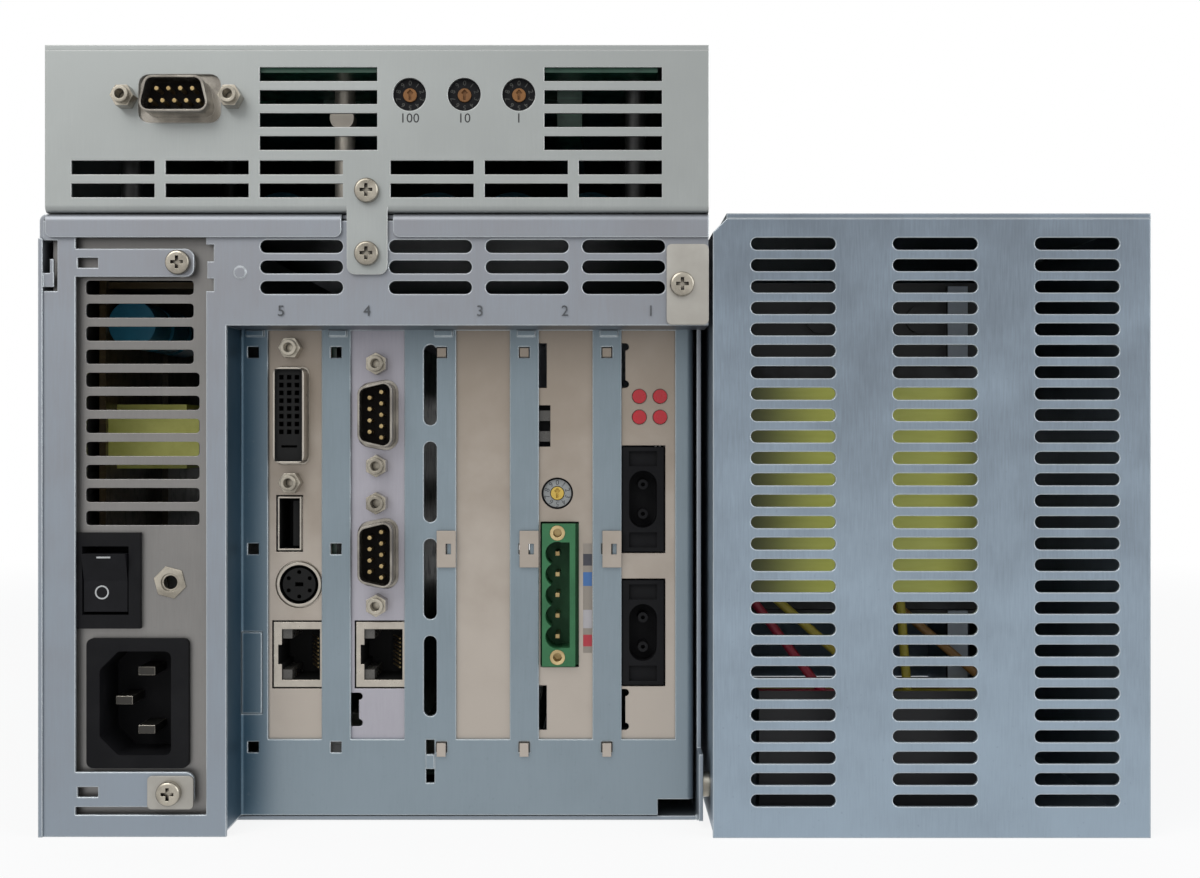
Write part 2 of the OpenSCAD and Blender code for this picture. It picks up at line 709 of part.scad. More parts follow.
// Control board of the backup unit, on tall standoffs under the cover
post_r = 2.5;
post_h = 5;
control_d = 118;
control_drop = 6.2;
control_y0 = face_y + seat_gap;
backup_inset = 12;
control_z = backup_top - control_drop;
tall_h = control_z - backup_z0 - sheet_t;
control_w = backup_w - 2 * backup_inset;
control_x0 = backup_x0 + backup_inset;
module backup_board() {
  color(board_green) {
    box_at(control_x0, control_y0, control_z, control_w, control_d, board_t);
    for (i = [0:3])
      box_at(backup_x0 + (2 * i + 3) * chip_w, control_y0 + control_d / 4,
        control_z - chip_h, chip_w, chip_w, chip_h);
    box_at(backup_x1 - backup_inset - 2 * chip_w, control_y0 + chip_w,
      control_z - chip_w, chip_w / 2, control_d / 2, chip_w);
  }
}
chip_w = 12;
chip_h = 2;
stay_dx = 67.8;
stay_dy = 16;
stay_x = backup_x0 + stay_dx;
stay_y = control_y0 + stay_dy;
stay_drop = 14.6;
stay_z = backup_top - stay_drop;
module tall_post(x, y) {
  translate([x, y, backup_z0 + sheet_t]) cylinder(h = tall_h, r = post_r);
}
module board_standoffs() {
  color(nickel) {
    for (x = [control_x0 + 2 * post_r, control_x0 + control_w - 2 * post_r], y = [0, 1])
      tall_post(x, control_y0 + 4 * post_r + y * (control_d - 8 * post_r));
    tall_post(stay_x, stay_y);
    rod_y(stay_x, stay_y - 2 * post_r, stay_z, head_r, 2 * post_r);
    for (x = [backplane_x0 + 2 * post_r, backplane_x1 - 2 * post_r], y = [backplane_y0,
      backplane_y0 + backplane_d - 4 * post_r])
      translate([x, y + 2 * post_r, sheet_t]) cylinder(h = post_h, r = post_r);
  }
}
// Battery of round cells, two deep, tied by a strip behind the board
cell_r = 12;
cell_cols = 5;
cell_pitch = 2 * (cell_r + seat_gap);
battery_dx = 30;
battery_gap = 6;
battery_room = 18;
battery_x0 = backup_x0 + battery_dx;
battery_z = backup_z0 + sheet_t + cell_r;
battery_y0 = control_y0 + control_d + battery_gap;
cell_l = (rear_y - battery_room - battery_y0) / 2;
module backup_battery() {
  color([0.16, 0.22, 0.42]) {
    for (i = [0:cell_cols - 1], j = [0, 1])
      rod_y(battery_x0 + i * cell_pitch, battery_y0 + j * cell_l, battery_z, cell_r, cell_l);
    box_at(battery_x0, battery_y0 - sheet_t, battery_z - cell_r / 2, (cell_cols - 1) * cell_pitch,
      sheet_t, cell_r);
  }
}

// Rotary dials: a square housing with a round bore, and a rotor with an arrow slot
dial_side = 9.6;
dial_h = 5.2;
rotor_r = 1.6;
rotor_out = 0.4;
arrow_w = 0.6;
arrow_l = 2.2;
arrow_d = 0.5;
dial_y = face_y + seat_gap;
id_dial_dx = 2.1;
id_dial_x = slot_x(2) - id_dial_dx;
id_dial_up = 60.4;
id_dial_z = slot_z + id_dial_up;
id_dial_y = back_y + seat_gap;
module dial_housing(x, y, z) {
  difference() {
    block(x, y, z, dial_side, dial_h, dial_side);
    rod_y(x, y - cut, z, rotor_r + run_gap, dial_h - sheet_t + cut);
  }
}
module dial_rotor(x, y, z) {
  color([0.75, 0.42, 0.16]) difference() {
    rod_y(x, y - rotor_out, z, rotor_r, dial_h - sheet_t - run_gap + rotor_out);
    block(x, y - rotor_out - cut, z, arrow_w, arrow_d + cut, arrow_l);
    translate([x, y - rotor_out + arrow_d / 2, z + arrow_l / 4]) rotate([0, 45, 0])
      cube([arrow_l / 2, arrow_d, arrow_l / 2], center = true);
  }
}
module dial_housings() {
  color(black) {
    for (i = [0:2]) {
      dial_housing(dial_cx(i), dial_y, dial_z);
      box_at(dial_cx(i) - dial_side / 2, dial_y, dial_z + dial_side / 3, dial_side, dial_h,
        control_z - dial_z - dial_side / 3);
    }
    dial_housing(id_dial_x, id_dial_y, id_dial_z);
    box_at(id_dial_x - dial_side / 2, id_dial_y + dial_h, id_dial_z - dial_side / 2,
      board_x(2) - id_dial_x + dial_side / 2, board_t, dial_side);
  }
}
module dial_hundreds() { dial_rotor(dial_cx(0), dial_y, dial_z); }
module dial_tens() { dial_rotor(dial_cx(1), dial_y, dial_z); }
module dial_ones() { dial_rotor(dial_cx(2), dial_y, dial_z); }
module dial_board_id() { dial_rotor(id_dial_x, id_dial_y, id_dial_z); }

// Nine-pin connectors: places are [x, front plane y, z, turn]; the five-pin row is below or on the right
dsub_pitch = 25;
dsub_w = 16.9;
dsub_h = 8.4;
dsub_slant = 0.9;
dsub_r = 2.2;
dsub_wall = 0.5;
dsub_out = 5.8;
dsub_flange_w = 30.8;
dsub_flange_h = 12.5;
dsub_flange_t = 0.8;
dsub_cut_w = 19.4;
dsub_cut_h = 11.4;
dsub_cut_r = 2.5;
dsub_body_d = dial_h + seat_gap;
pin_pitch = 2.77;
pin_rows = 2.84;
pin_r = 0.5;
pin_short = 1.2;
com_x = slot_x(4);
com1_up = 79.7;
com1_z = slot_z + com1_up;
com2_up = 45.6;
com2_z = slot_z + com2_up;
DSUBS = [
  [serial_x, face_y, serial_z, 180],
  [com_x, back_y, com1_z, 270],
  [com_x, back_y, com2_z, 270]
];
module at_dsub(d) {
  translate([d[0], d[1], d[2]]) rotate([0, -d[3], 0]) children();
}
// D-shaped outline grown by g, with the long row on top
module dsub_outline(g) {
  w = dsub_w / 2 + g;
  h = dsub_h / 2 + g;
  polygon(rounded([[-w, h], [w, h], [w - 2 * dsub_slant, -h], [-w + 2 * dsub_slant, -h]], dsub_r + g));
}
module dsub_shells() {
  color(nickel) for (d = DSUBS) at_dsub(d) difference() {
    union() {
      plate_y(0, dsub_flange_t) difference() {
        round_window(0, 0, dsub_flange_w, dsub_flange_h, dsub_cut_r / 2);
        for (s = [-1, 1]) translate([s * dsub_pitch / 2, 0]) circle(thread_r);
      }
      plate_y(-sheet_t - dsub_out, dsub_out + sheet_t) dsub_outline(0);
    }
    plate_y(-sheet_t - dsub_out - cut, dsub_out + sheet_t + dsub_flange_t + 2 * cut)
      dsub_outline(-dsub_wall);
  }
}
module dsub_inserts() {
  color(black) for (d = DSUBS) at_dsub(d) difference() {
    plate_y(-sheet_t, sheet_t + dsub_body_d) dsub_outline(-dsub_wall);
    dsub_pins(-sheet_t - cut, dsub_body_d + 2 * cut);
  }
}
// Five pins over four, from y back over l
module dsub_pins(y, l) {
  for (row = [0, 1], i = [0:4 - row])
    rod_y((i - 2 + row / 2) * pin_pitch, y, pin_rows / 2 - row * pin_rows, pin_r, l);
}
// Pins of the serial ports and of the field bus terminal
module contact_pins() {
  color(brass) {
    for (d = DSUBS) at_dsub(d)
      dsub_pins(-sheet_t - dsub_out + pin_short, dsub_out - pin_short + sheet_t + dsub_body_d / 2);
    for (i = [0:term_poles - 1])
      block(term_pin_x, term_y0 + term_pin, term_pin_z(i), term_pin,
        term_d - term_floor, term_pin);
  }
}
// Jackscrews: a hexagon with a round threaded top, beside each serial port and the monitor port
jack_hex_r = 2.75;
jack_hex_h = 4;
jack_top_r = 1.9;
jack_top_h = 1.6;
thread_r = 1.4;
jack_bore_r = 1.15;
jack_tail = 4;
module jackscrew() {
  difference() {
    union() {
      rotate([90, 0, 0]) cylinder(h = jack_hex_h, r = jack_hex_r, $fn = 6);
      rod_y(0, -jack_hex_h - jack_top_h, 0, jack_top_r, jack_top_h + cut);
      rod_y(0, 0, 0, thread_r, jack_tail);
    }
    rod_y(0, -jack_hex_h - jack_top_h - cut, 0, jack_bore_r, jack_hex_h + cut);
  }
}
module jackscrews() {
  color(nickel) {
    for (d = DSUBS, s = [-1, 1]) at_dsub(d)
      translate([s * dsub_pitch / 2, d[1] == face_y ? -sheet_t : -bracket_t, 0]) jackscrew();
    for (s = [-1, 1])
      translate([dvi_x, bracket_y, dvi_z + s * dvi_pitch / 2]) jackscrew();
  }
}

// Side unit: a vented front, a tray with its inner wall, and a cover
side_wall_t = 1.2;
side_top = chassis_h;
side_corner = 3.2;
side_vent_pitch = 5.04;
side_vent_inset = 5.7;
side_vent_dx = 33.4;
side_vent_margin = 8.9;
side_vent_x0 = side_x + side_vent_margin;
module side_front() {
  color(zinc) plate_y(lip_y, sheet_t) difference() {
    polygon([
      [side_x, 0], [side_x1, 0], [side_x1, side_top - cover_t], [side_x + side_corner, side_top - cover_t],
      [side_x, side_top - cover_t - side_corner]
    ]);
    for (c = [0:2], row = [0:side_rows - 1])
      translate([side_vent_x0 + c * side_vent_dx,
        side_top - side_vent_inset - side_vent_h - row * side_vent_pitch])
        round_slot(side_vent_l, side_vent_h);
  }
}
module side_chassis() {
  color(zinc) {
    difference() {
      union() {
        box_at(side_x, face_y, bend_r, sheet_t, case_d - sheet_t - bend_r,
          side_top - cover_t - side_corner - bend_r);
        translate([0, rear_y - bend_r, 0]) rotate([90, 0, 0]) linear_extrude(case_d - sheet_t - bend_r) {
          translate([side_x + bend_r, bend_r]) quarter_bend(-1, -1, bend_r, sheet_t);
          translate([side_x + bend_r, 0]) square([side_w - bend_r, sheet_t]);
        }
      }
      for (y = [bay_y - ear_l / 2, rear_y - flange_l])
        box_at(side_x - cut, y - stud_r / 2, stud_z - stud_r / 2, sheet_t + 2 * cut, stud_r, stud_r);
    }
    plate_y(rear_y - sheet_t, sheet_t) difference() {
      translate([side_x, sheet_t]) square([side_w - side_wall_t, side_top - cover_t - sheet_t]);
      fan_vents(side_fan_x, side_fan_z, side_fan_size);
    }
    box_at(side_x, rear_y - bend_r - sheet_t, sheet_t, sheet_t, bend_r + sheet_t / 2,
      side_top - cover_t - side_corner - sheet_t);
  }
}
module side_cover() {
  color(zinc) {
    box_at(side_x + side_corner, lip_y, side_top - cover_t, side_w - side_corner, case_d, cover_t);
    box_at(side_x1 - side_wall_t, face_y, sheet_t, side_wall_t, case_d - sheet_t,
      side_top - cover_t - sheet_t);
  }
}

// Isolation transformer: laminated core, wound bobbin and the bracket that holds them
core_w = 70;
core_h = 61;
core_stack = 30;
core_limb = 5;
core_z = 51;
core_back = 24;
core_y = face_y + core_back;
core_dx = 3.5;
core_x = side_x + core_dx;
coil_out = 8;
module transformer_core() {
  color([0.32, 0.32, 0.34]) difference() {
    box_at(core_x, core_y, core_z, core_w, core_stack, core_h);
    for (i = [0, 1])
      box_at(core_x + core_limb + i * (core_w - core_limb) / 2, core_y - cut, core_z + core_limb,
        (core_w - 3 * core_limb) / 2, core_stack + 2 * cut, core_h - 2 * core_limb);
  }
}
module transformer_coil() {
  inner = core_limb + 2 * seat_gap;
  outer = core_w - 2 * core_limb - 2 * seat_gap;
  color([0.85, 0.68, 0.2]) difference() {
    box_at(core_x + (core_w - outer) / 2, core_y - coil_out, core_z + core_limb + seat_gap, outer,
      core_stack + 2 * coil_out,
      core_h - 2 * core_limb - 2 * seat_gap);
    box_at(core_x + (core_w - inner) / 2, core_y - seat_gap, core_z, inner, core_stack + 2 * seat_gap,
      core_h);
  }
}
core_leg = 2;
leg_x = core_x - core_leg - seat_gap;
strip_w = 5;
strip_dx = 57.2;
strip_drop = 18;
rivet_dx = 25.2;
rivet_r = 3.4;
rivet_up = 12;
top_plate_h = 20;
module transformer_bracket() {
  color(nickel) {
    for (x = [leg_x, core_x + core_w + seat_gap])
      box_at(x, core_y, sheet_t, core_leg, core_stack, core_z + core_h - sheet_t + core_leg);
    for (z = [core_z - core_leg - seat_gap, core_z + core_h + seat_gap])
      box_at(leg_x, core_y, z, core_w + 2 * (core_leg + seat_gap), core_stack, core_leg);
    for (z = [core_z - core_leg - strip_drop - seat_gap, core_z + core_h + seat_gap])
      box_at(core_x + strip_dx, core_y - sheet_t, z, strip_w, 2 * sheet_t, core_leg + strip_drop);
    for (i = [1, 2])
      rod_y(core_x + i * rivet_dx, core_y, core_z + core_h + rivet_up, rivet_r, core_stack);
    box_at(core_x + stud_r, core_y + sheet_t, core_z + core_h + seat_gap + core_leg / 2,
      core_w - 2 * stud_r, sheet_t, top_plate_h);
  }
}

// Leads from the winding to two terminal blocks: where each begins and ends, from the core's corner
wire_r = 1.1;
wire_dy = 2.6;
wire_y = core_y - coil_out + wire_r;
LEADS = [[6.5, 26], [12, 41], [44, 46], [40, 70]];
WIRE_BLOCKS = [[9, 19], [37, 35]];
wire_block_h = 31;
wire_sink = 2;
wire_z = sheet_t + wire_block_h - wire_sink;
wire_h = core_z + core_limb - 2 * seat_gap - wire_z;
module wire_loom() {
  color([0.6, 0.12, 0.1]) {
    for (i = [0:3])
      let (d = LEADS[i][0] - LEADS[i][1])
      translate([core_x + LEADS[i][1], wire_y + i % 2 * wire_dy, wire_z])
        rotate([0, atan2(d, wire_h), 0]) cylinder(h = norm([d, wire_h]), r = wire_r);
    for (b = WIRE_BLOCKS)
      box_at(core_x + b[0], wire_y - 2 * wire_r, sheet_t, b[1], wire_dy + 4 * wire_r, wire_block_h);
  }
}

// Fans: a square frame with a round duct, and a rotor on a shaft in the frame's bearing
fan_wall = 2.5;
blade_count = 7;
blade_t = 1.4;
blade_tilt = 38;
fan_hub_share = 0.4;
shaft_r = 1.5;
bearing_r = 4;
bearing_l = 10;
strut_w = 3;
fan_tip_gap = 1;
cup_h = 11;
cup_wall = 1.5;
module fan_frame(x, z, size) {
  duct_r = size / 2 - fan_wall;
  color(black) translate([x, fan_y, z]) {
    difference() {
      box_at(-size / 2, 0, -size / 2, size, fan_d, size);
      rod_y(0, -cut, 0, duct_r, fan_d + 2 * cut);
      for (sx = [-1, 1], sz = [-1, 1])
        rod_y(sx * (size / 2 - fan_inset), -cut, sz * (size / 2 - fan_inset), fan_screw_r, fan_d + 2 * cut);
    }
    difference() {
      union() {
        rod_y(0, fan_d - strut_w, 0, size * fan_hub_share / 2, strut_w);
        rod_y(0, fan_d - bearing_l, 0, bearing_r, bearing_l);
        for (a = [45:90:315]) rotate([0, a, 0])
          box_at(bearing_r, fan_d - strut_w, -strut_w / 2, duct_r - bearing_r + fan_wall / 4, strut_w,
            strut_w);
      }
      rod_y(0, fan_d - bearing_l - cut, 0, shaft_r + run_gap, bearing_l + cut - strut_w / 2);
    }
  }
}
module fan_rotor(x, z, size) {
  hub_r = size * fan_hub_share / 2;
  tip_r = size / 2 - fan_wall - fan_tip_gap;
  color([0.12, 0.12, 0.13]) translate([x, fan_y, z]) {
    difference() {
      rod_y(0, sheet_t, 0, hub_r, cup_h);
      rod_y(0, 3 * sheet_t, 0, hub_r - cup_wall, cup_h);
    }
    rod_y(0, 2 * sheet_t, 0, shaft_r, fan_d - strut_w - 2 * sheet_t);
    intersection() {
      difference() {
        rod_y(0, sheet_t, 0, tip_r, cup_h + sheet_t);
        rod_y(0, 0, 0, hub_r - sheet_t / 2, cup_h + 3 * sheet_t);
      }
      for (i = [0:blade_count - 1]) rotate([0, i * 360 / blade_count, 0]) translate([hub_r - sheet_t,
        sheet_t + cup_h / 2, 0])
        rotate([blade_tilt, 0, 0]) translate([0, -cup_h, -blade_t / 2]) cube([tip_r, 2 * cup_h, blade_t]);
    }
  }
}
fan_y = rear_y - sheet_t - fan_d;
module main_fan_frame() { fan_frame(main_fan_x, main_fan_z, main_fan_size); }
module main_fan_rotor() { fan_rotor(main_fan_x, main_fan_z, main_fan_size); }
module side_fan_frame() { fan_frame(side_fan_x, side_fan_z, side_fan_size); }
module side_fan_rotor() { fan_rotor(side_fan_x, side_fan_z, side_fan_size); }

// Power supply: the openings in its face, set out from its lower left corner
psu_vents = 11;
psu_vent_h = 3.4;
psu_vent_pitch = 5.48;
psu_vent_x = 7.8;
psu_vent_w = 27;
psu_vent_short = 1.4;
psu_top_vent = 13.1;
psu_boss_r = 3.2;
module psu_case() {
  color([0.52, 0.5, 0.47]) difference() {
    union() {
      difference() {
        box_at(psu_x0, psu_y0, psu_z0, psu_w, psu_d, psu_h);
        box_at(psu_x0 + psu_t, psu_y0 + psu_t, psu_z0 + psu_t, psu_w - 2 * psu_t, psu_d - 2 * psu_t,
          psu_h - 2 * psu_t);
      }
      for (s = PSU_SCREWS)
        rod_y(s[0], inner_y, s[1], psu_boss_r, psu_y0 - inner_y + psu_t / 2);
    }
    plate_y(psu_y0 - cut, psu_t + 2 * cut) {
      for (row = [0:psu_vents - 1])
        translate([psu_x0 + psu_vent_x,
          psu_z0 + psu_h - psu_top_vent - psu_vent_h / 2 - row * psu_vent_pitch])
          rounded_box(psu_vent_w - (row < upper_rows ? psu_vent_short : 0), psu_vent_h, psu_vent_h / 4);
      window(inlet_x, inlet_z, inlet_body_w, inlet_body_h, seat_gap);
      window(switch_x, switch_z, switch_body_w, switch_body_h, seat_gap);
    }
    rod_y(nut_x, psu_y0 - cut, nut_z, nut_shank_r + run_gap, psu_t + 2 * cut);
    for (s = PSU_SCREWS) rod_y(s[0], inner_y - cut, s[1], screw_r, screw_l + 2 * cut);
    plate_y(psu_y0 + psu_d - psu_t - cut, psu_t + 2 * cut) for (row = [0:psu_vents])
      translate([psu_x0 + (psu_w - psu_vent_w) / 2, psu_z0 + psu_h / 4 + row * psu_vent_pitch])
        round_slot(psu_vent_w, psu_vent_h);
  }
}

// Threaded clinch nut in the supply's face for a cord clamp, and the plate on the lower arm
nut_dx = 27.8;
nut_x = psu_x0 + nut_dx;
nut_up = 58.8;
nut_z = psu_z0 + nut_up;
nut_r = 4;
nut_h = 3;
nut_head = 0.3;
nut_shank_r = 3.4;
nut_bore_r = 1.65;
nut_turn = 15;
nut_mouth_r = 2.15;
module clamp_nut() {
  color(nickel) difference() {
    union() {
      translate([nut_x, psu_y0, nut_z]) rotate([90, nut_turn, 0]) cylinder(h = nut_head, r = nut_r, $fn = 6);
      rod_y(nut_x, psu_y0, nut_z, nut_shank_r, nut_h);
    }
    rod_y(nut_x, psu_y0 - nut_head - cut, nut_z, nut_bore_r, nut_h + nut_head + 2 * cut);
    rod_y(nut_x, psu_y0 - nut_head - cut, nut_z, nut_mouth_r, nut_head * 2 + cut);
  }
}
clamp_t = 0.8;
clamp_w = 10.8;
clamp_h = 7.8;
clamp_side = 5.2;
module clamp_plate() {
  color(nickel) difference() {
    plate_y(face_y - clamp_t, clamp_t) translate([low_screw_x - clamp_side, low_screw_z - clamp_h / 2])
      rounded_box(clamp_w, clamp_h, sheet_t);
    rod_y(low_screw_x, face_y - clamp_t - cut, low_screw_z, screw_r, clamp_t + 2 * cut);
  }
}

// Mains inlet: bezel, body with a cornered socket, and three blades
inlet_dx = 20.5;
inlet_x = psu_x0 + inlet_dx;
inlet_up = 30.3;
inlet_z = psu_z0 + inlet_up;
inlet_bezel_w = 24.2;
inlet_bezel_h = 30.7;
inlet_body_w = 21.5;
inlet_body_h = 28;
inlet_body_d = 16;
inlet_socket_w = 16.9;
inlet_socket_h = 24.6;
inlet_chamfer = 4.4;
inlet_socket_d = 14;
inlet_r = 1.5;
blade_w = 4;
blade_h = 2;
blade_l = 9.5;
blade_tail = 8;
blade_dx = 0.9;
blade_dz = 7;
earth_dx = -4.5;
module psu_inlet() {
  color(black) difference() {
    union() {
      plate_y(psu_y0 - bezel_t, bezel_t)
        round_window(inlet_x, inlet_z, inlet_bezel_w, inlet_bezel_h, inlet_r);
      block(inlet_x, psu_y0 - bezel_t / 2, inlet_z, inlet_body_w, inlet_body_d + bezel_t / 2, inlet_body_h);
    }
    plate_y(psu_y0 - bezel_t - cut, inlet_socket_d + cut) translate([inlet_x - inlet_r / 3, inlet_z])
      inlet_outline();
    for (b = INLET_BLADES) blade(b, 2 * inlet_body_d);
  }
}
module inlet_outline() {
  w = inlet_socket_w / 2;
  h = inlet_socket_h / 2;
  polygon(rounded([
    [w, -h], [w, h], [-w + inlet_chamfer, h], [-w, h - inlet_chamfer], [-w, -h + inlet_chamfer],
      [-w + inlet_chamfer, -h]
  ], inlet_r));
}
INLET_BLADES = [[blade_dx, blade_dz], [blade_dx, -blade_dz], [earth_dx, 0]];
module blade(b, l) {
  block(inlet_x + b[0], psu_y0 - bezel_t + inlet_socket_d - blade_l, inlet_z + b[1], blade_w, l, blade_h);
}
module inlet_pins() {
  color(nickel) for (b = INLET_BLADES) blade(b, blade_l + blade_tail);
}

// Rocker switch: housing with a well and bearing holes, and a rocker on pins
switch_dx = 12.9;
switch_x = psu_x0 + switch_dx;
switch_up = 59.35;
switch_z = psu_z0 + switch_up;
switch_bezel_w = 16.4;
switch_bezel_h = 22.7;
switch_body_w = 13.8;
switch_body_h = 19.6;
switch_body_d = 14;
rocker_w = 10.4;
rocker_l = 7.4;
rocker_rise = 2.5;
rocker_gap = 0.3;
rocker_sunk = 0.3;
rocker_back = 3;
pivot_r = 1.2;
pivot_l = 0.9;
well_d = 11;
pivot_y = psu_y0 - bezel_t + rocker_sunk + rocker_rise;
well_l = sqrt(rocker_l * rocker_l + rocker_rise * rocker_rise) + rocker_gap;
module switch_housing() {
  color(black) difference() {
    union() {
      plate_y(psu_y0 - bezel_t, bezel_t)
        window(switch_x, switch_z, switch_bezel_w, switch_bezel_h, 0);
      block(switch_x, psu_y0 - bezel_t / 2, switch_z, switch_body_w, switch_body_d + bezel_t / 2,
        switch_body_h);
    }
    box_at(switch_x - rocker_w / 2 - rocker_gap, psu_y0 - bezel_t - cut, switch_z - well_l,
      rocker_w + 2 * rocker_gap, well_d + cut, 2 * well_l);
    rod_x(switch_x - rocker_w / 2 - pivot_l - run_gap, pivot_y, switch_z, pivot_r + run_gap,
      rocker_w + 2 * pivot_l + 2 * run_gap);
  }
}
module switch_rocker() {
  color([0.09, 0.09, 0.1]) {
    plate_x(switch_x - rocker_w / 2, rocker_w) translate([pivot_y, switch_z]) polygon([
      [-rocker_rise, 0],
      [-rocker_rise * cos(rocker_swing) - rocker_l * sin(rocker_swing), rocker_l * cos(rocker_swing)
        - rocker_rise * sin(rocker_swing)],
      [0, rocker_l * cos(rocker_swing) - rocker_rise * sin(rocker_swing)],
      [rocker_back, rocker_back],
      [rocker_back, -rocker_back],
      [0, -rocker_l],
      [-rocker_rise, -rocker_l]
    ]);
    rod_x(switch_x - rocker_w / 2 - pivot_l, pivot_y, switch_z, pivot_r, rocker_w + 2 * pivot_l);
  }
}

// Supply board on the left wall, with its transformer and capacitors
stand_h = 3;
psu_board_back = 22;
psu_board_y = psu_y0 + psu_board_back;
psu_board_up = 4;
psu_board_z = psu_z0 + psu_board_up;
psu_board_d = 126;
psu_board_room = 8;
psu_board_h = psu_h - psu_board_room;
psu_board_x = psu_x0 + psu_t + stand_h;
parts_x = psu_board_x + board_t;
parts_dy = 2;
parts_y = psu_board_y + parts_dy;
cap_r = 6;
cap_l = 14;
psu_trafo_w = 23;
psu_trafo_h = 10.5;
psu_trafo_d = 28;
psu_core_w = 18;
strap_drop = 7;
psu_cap_drop = 9;
psu_trafo_drop = 42.7;
sink_drop = 89;
psu_strap_z = psu_board_z + psu_board_h - strap_drop;
psu_cap_z = psu_strap_z - psu_cap_drop;
psu_trafo_z = psu_strap_z - psu_trafo_drop;
sink_w = 1.6;
sink_dy = 50;
sink_y = psu_board_y + sink_dy;
sink_z = psu_strap_z - sink_drop;
sink_d = 50;
sink_h = 85;
module psu_board() {
  color([0.35, 0.3, 0.14]) {
    box_at(psu_board_x, psu_board_y, psu_board_z, board_t, psu_board_d, psu_board_h);
    for (y = [0, 1], z = [0, 1])
      rod_x(psu_x0 + psu_t, psu_board_y + stand_h + y * (psu_board_d - 2 * stand_h),
        psu_board_z + stand_h + z * (psu_board_h - 2 * stand_h), stand_h / 2,
          stand_h);
    box_at(parts_x, parts_y, psu_strap_z, psu_trafo_w, psu_trafo_d, sink_w);
    box_at(parts_x, sink_y, sink_z, sink_w, sink_d, sink_h);
  }
}
module psu_transformer() {
  color([0.86, 0.7, 0.2]) {
    box_at(parts_x, parts_y, psu_trafo_z, psu_trafo_w, psu_trafo_d, psu_trafo_h);
    box_at(parts_x, parts_y + psu_trafo_d / 4, psu_trafo_z - cap_r / 2, psu_core_w,
      psu_trafo_d / 2, psu_trafo_h + cap_r);
  }
}
module psu_capacitors() {
  color([0.1, 0.32, 0.62]) for (i = [0:2])
    rod_y(parts_x + cap_r, parts_y + i * (cap_l + stand_h), psu_cap_z, cap_r, cap_l);
}

// Backplane on the floor, with a socket for every slot
backplane_side = 4;
backplane_x0 = slot_x(5) - backplane_side;
backplane_x1 = wall_x1 - sheet_t - seat_gap;
backplane_front = 20;
backplane_over = 45;
backplane_y0 = card_y + edge_start - backplane_front;
backplane_d = edge_l + backplane_over;
backplane_z = sheet_t + post_h;
socket_w = 5.4;
socket_margin = 3;
socket_gap = 0.15;
socket_z = backplane_z + board_t;
socket_drop = 3;
socket_top = card_z - socket_drop;
tongue_h = 7;
module backplane() {
  color(board_green)
    box_at(backplane_x0, backplane_y0, backplane_z, backplane_x1 - backplane_x0, backplane_d, board_t);
}
module card_sockets() {
  color([0.88, 0.87, 0.82]) for (n = [1:slot_count]) difference() {
    x = board_x(n) + board_t / 2;
    box_at(x - socket_w / 2, card_y + edge_start - socket_margin, socket_z, socket_w,
      edge_l + 2 * socket_margin, socket_top - socket_z);
    box_at(x - board_t / 2 - socket_gap, card_y + edge_start - socket_gap, socket_top - tongue_h,
      board_t + 2 * socket_gap,
      edge_l + 2 * socket_gap, tongue_h + cut);
  }
}

// Card brackets: plain plates with cut-outs, and the ear that folds back at the top
bracket_down = 8;
bracket_z = slot_z - bracket_down;
bracket_up = 2;
bracket_top = bay_top + bracket_up;
ear_back = 9;
slit_r = 0.9;
module bracket(n) {
  difference() {
    union() {
      box_at(slot_x(n) - bracket_w / 2, bracket_y, bracket_z, bracket_w, bracket_t, bracket_top - bracket_z);
      box_at(slot_x(n) - bracket_w / 2, bracket_y, bracket_top - bracket_t, bracket_w, ear_back, bracket_t);
    }
    plate_y(bracket_y - cut, bracket_t + 2 * cut) children();
  }
}
// A slit beside the slot's left edge, from z over l, w wide, with round ends where ends is set
module side_slit(n, z, l, w, ends) {
  x = slot_x(n) - slot_w / 2;
  translate([x - cut, z]) square([w + cut, l]);
  if (ends) for (p = [z + slit_r, z + l - slit_r]) translate([x + w, p]) circle(slit_r);
}
module card_brackets() {
  color(nickel) {
    bracket(5) {
      round_window(dvi_x, dvi_z, dvi_w + 2 * port_gap, dvi_h + 2 * port_gap, dvi_r);
      for (s = [-1, 1]) translate([dvi_x, dvi_z + s * dvi_pitch / 2]) circle(thread_r);
      window(usb_x, usb_z, usb_w, usb_h, port_gap);
      translate([ps2_x, ps2_z]) circle(ps2_r + port_gap);
      lan_cut(5);
    }
    bracket(3);
    bracket(2) {
      side_slit(2, upper_slit_z, slit_l, slit_w, false);
      side_slit(2, led_window_z, led_window_h, led_window_w, false);
      translate([id_dial_x, id_dial_z]) circle(dial_hole_r);
      translate([term_x - port_gap, term_z - port_gap])
        square([term_w + term_side_gap + port_gap, term_h + 2 * port_gap]);
      side_slit(2, lower_slit_z, slit_l, slit_w, false);
    }
    bracket(1) {
      side_slit(1, upper_slit_z, slit_l, slit_w / 2, true);
      for (c = [0, 1], r = [0, 1])
        translate([led_x + c * led_pitch, led_z + r * led_pitch]) circle(led_r + seat_gap / 2);
      for (z = [fibre_in_z, fibre_out_z])
        translate([fibre_x - port_gap, z - port_gap]) square([fibre_w + 2 * port_gap,
          fibre_h + 2 * port_gap]);
      side_slit(1, lower_slit_z, slit_l - slit_r, slit_w / 2, true);
    }
  }
}
module serial_bracket() {
  color([0.66, 0.65, 0.69]) bracket(4) {
    for (d = [DSUBS[1], DSUBS[2]]) translate([d[0], d[2]]) {
      rotate(d[3]) dsub_outline(port_gap * 2);
      for (s = [-1, 1]) translate([0, s * dsub_pitch / 2]) circle(thread_r);
    }
    lan_cut(4);
    side_slit(4, lower_slit_z + slit_r, slit_l - 3 * slit_r, slit_w, true);
  }
}
slit_w = 1.9;
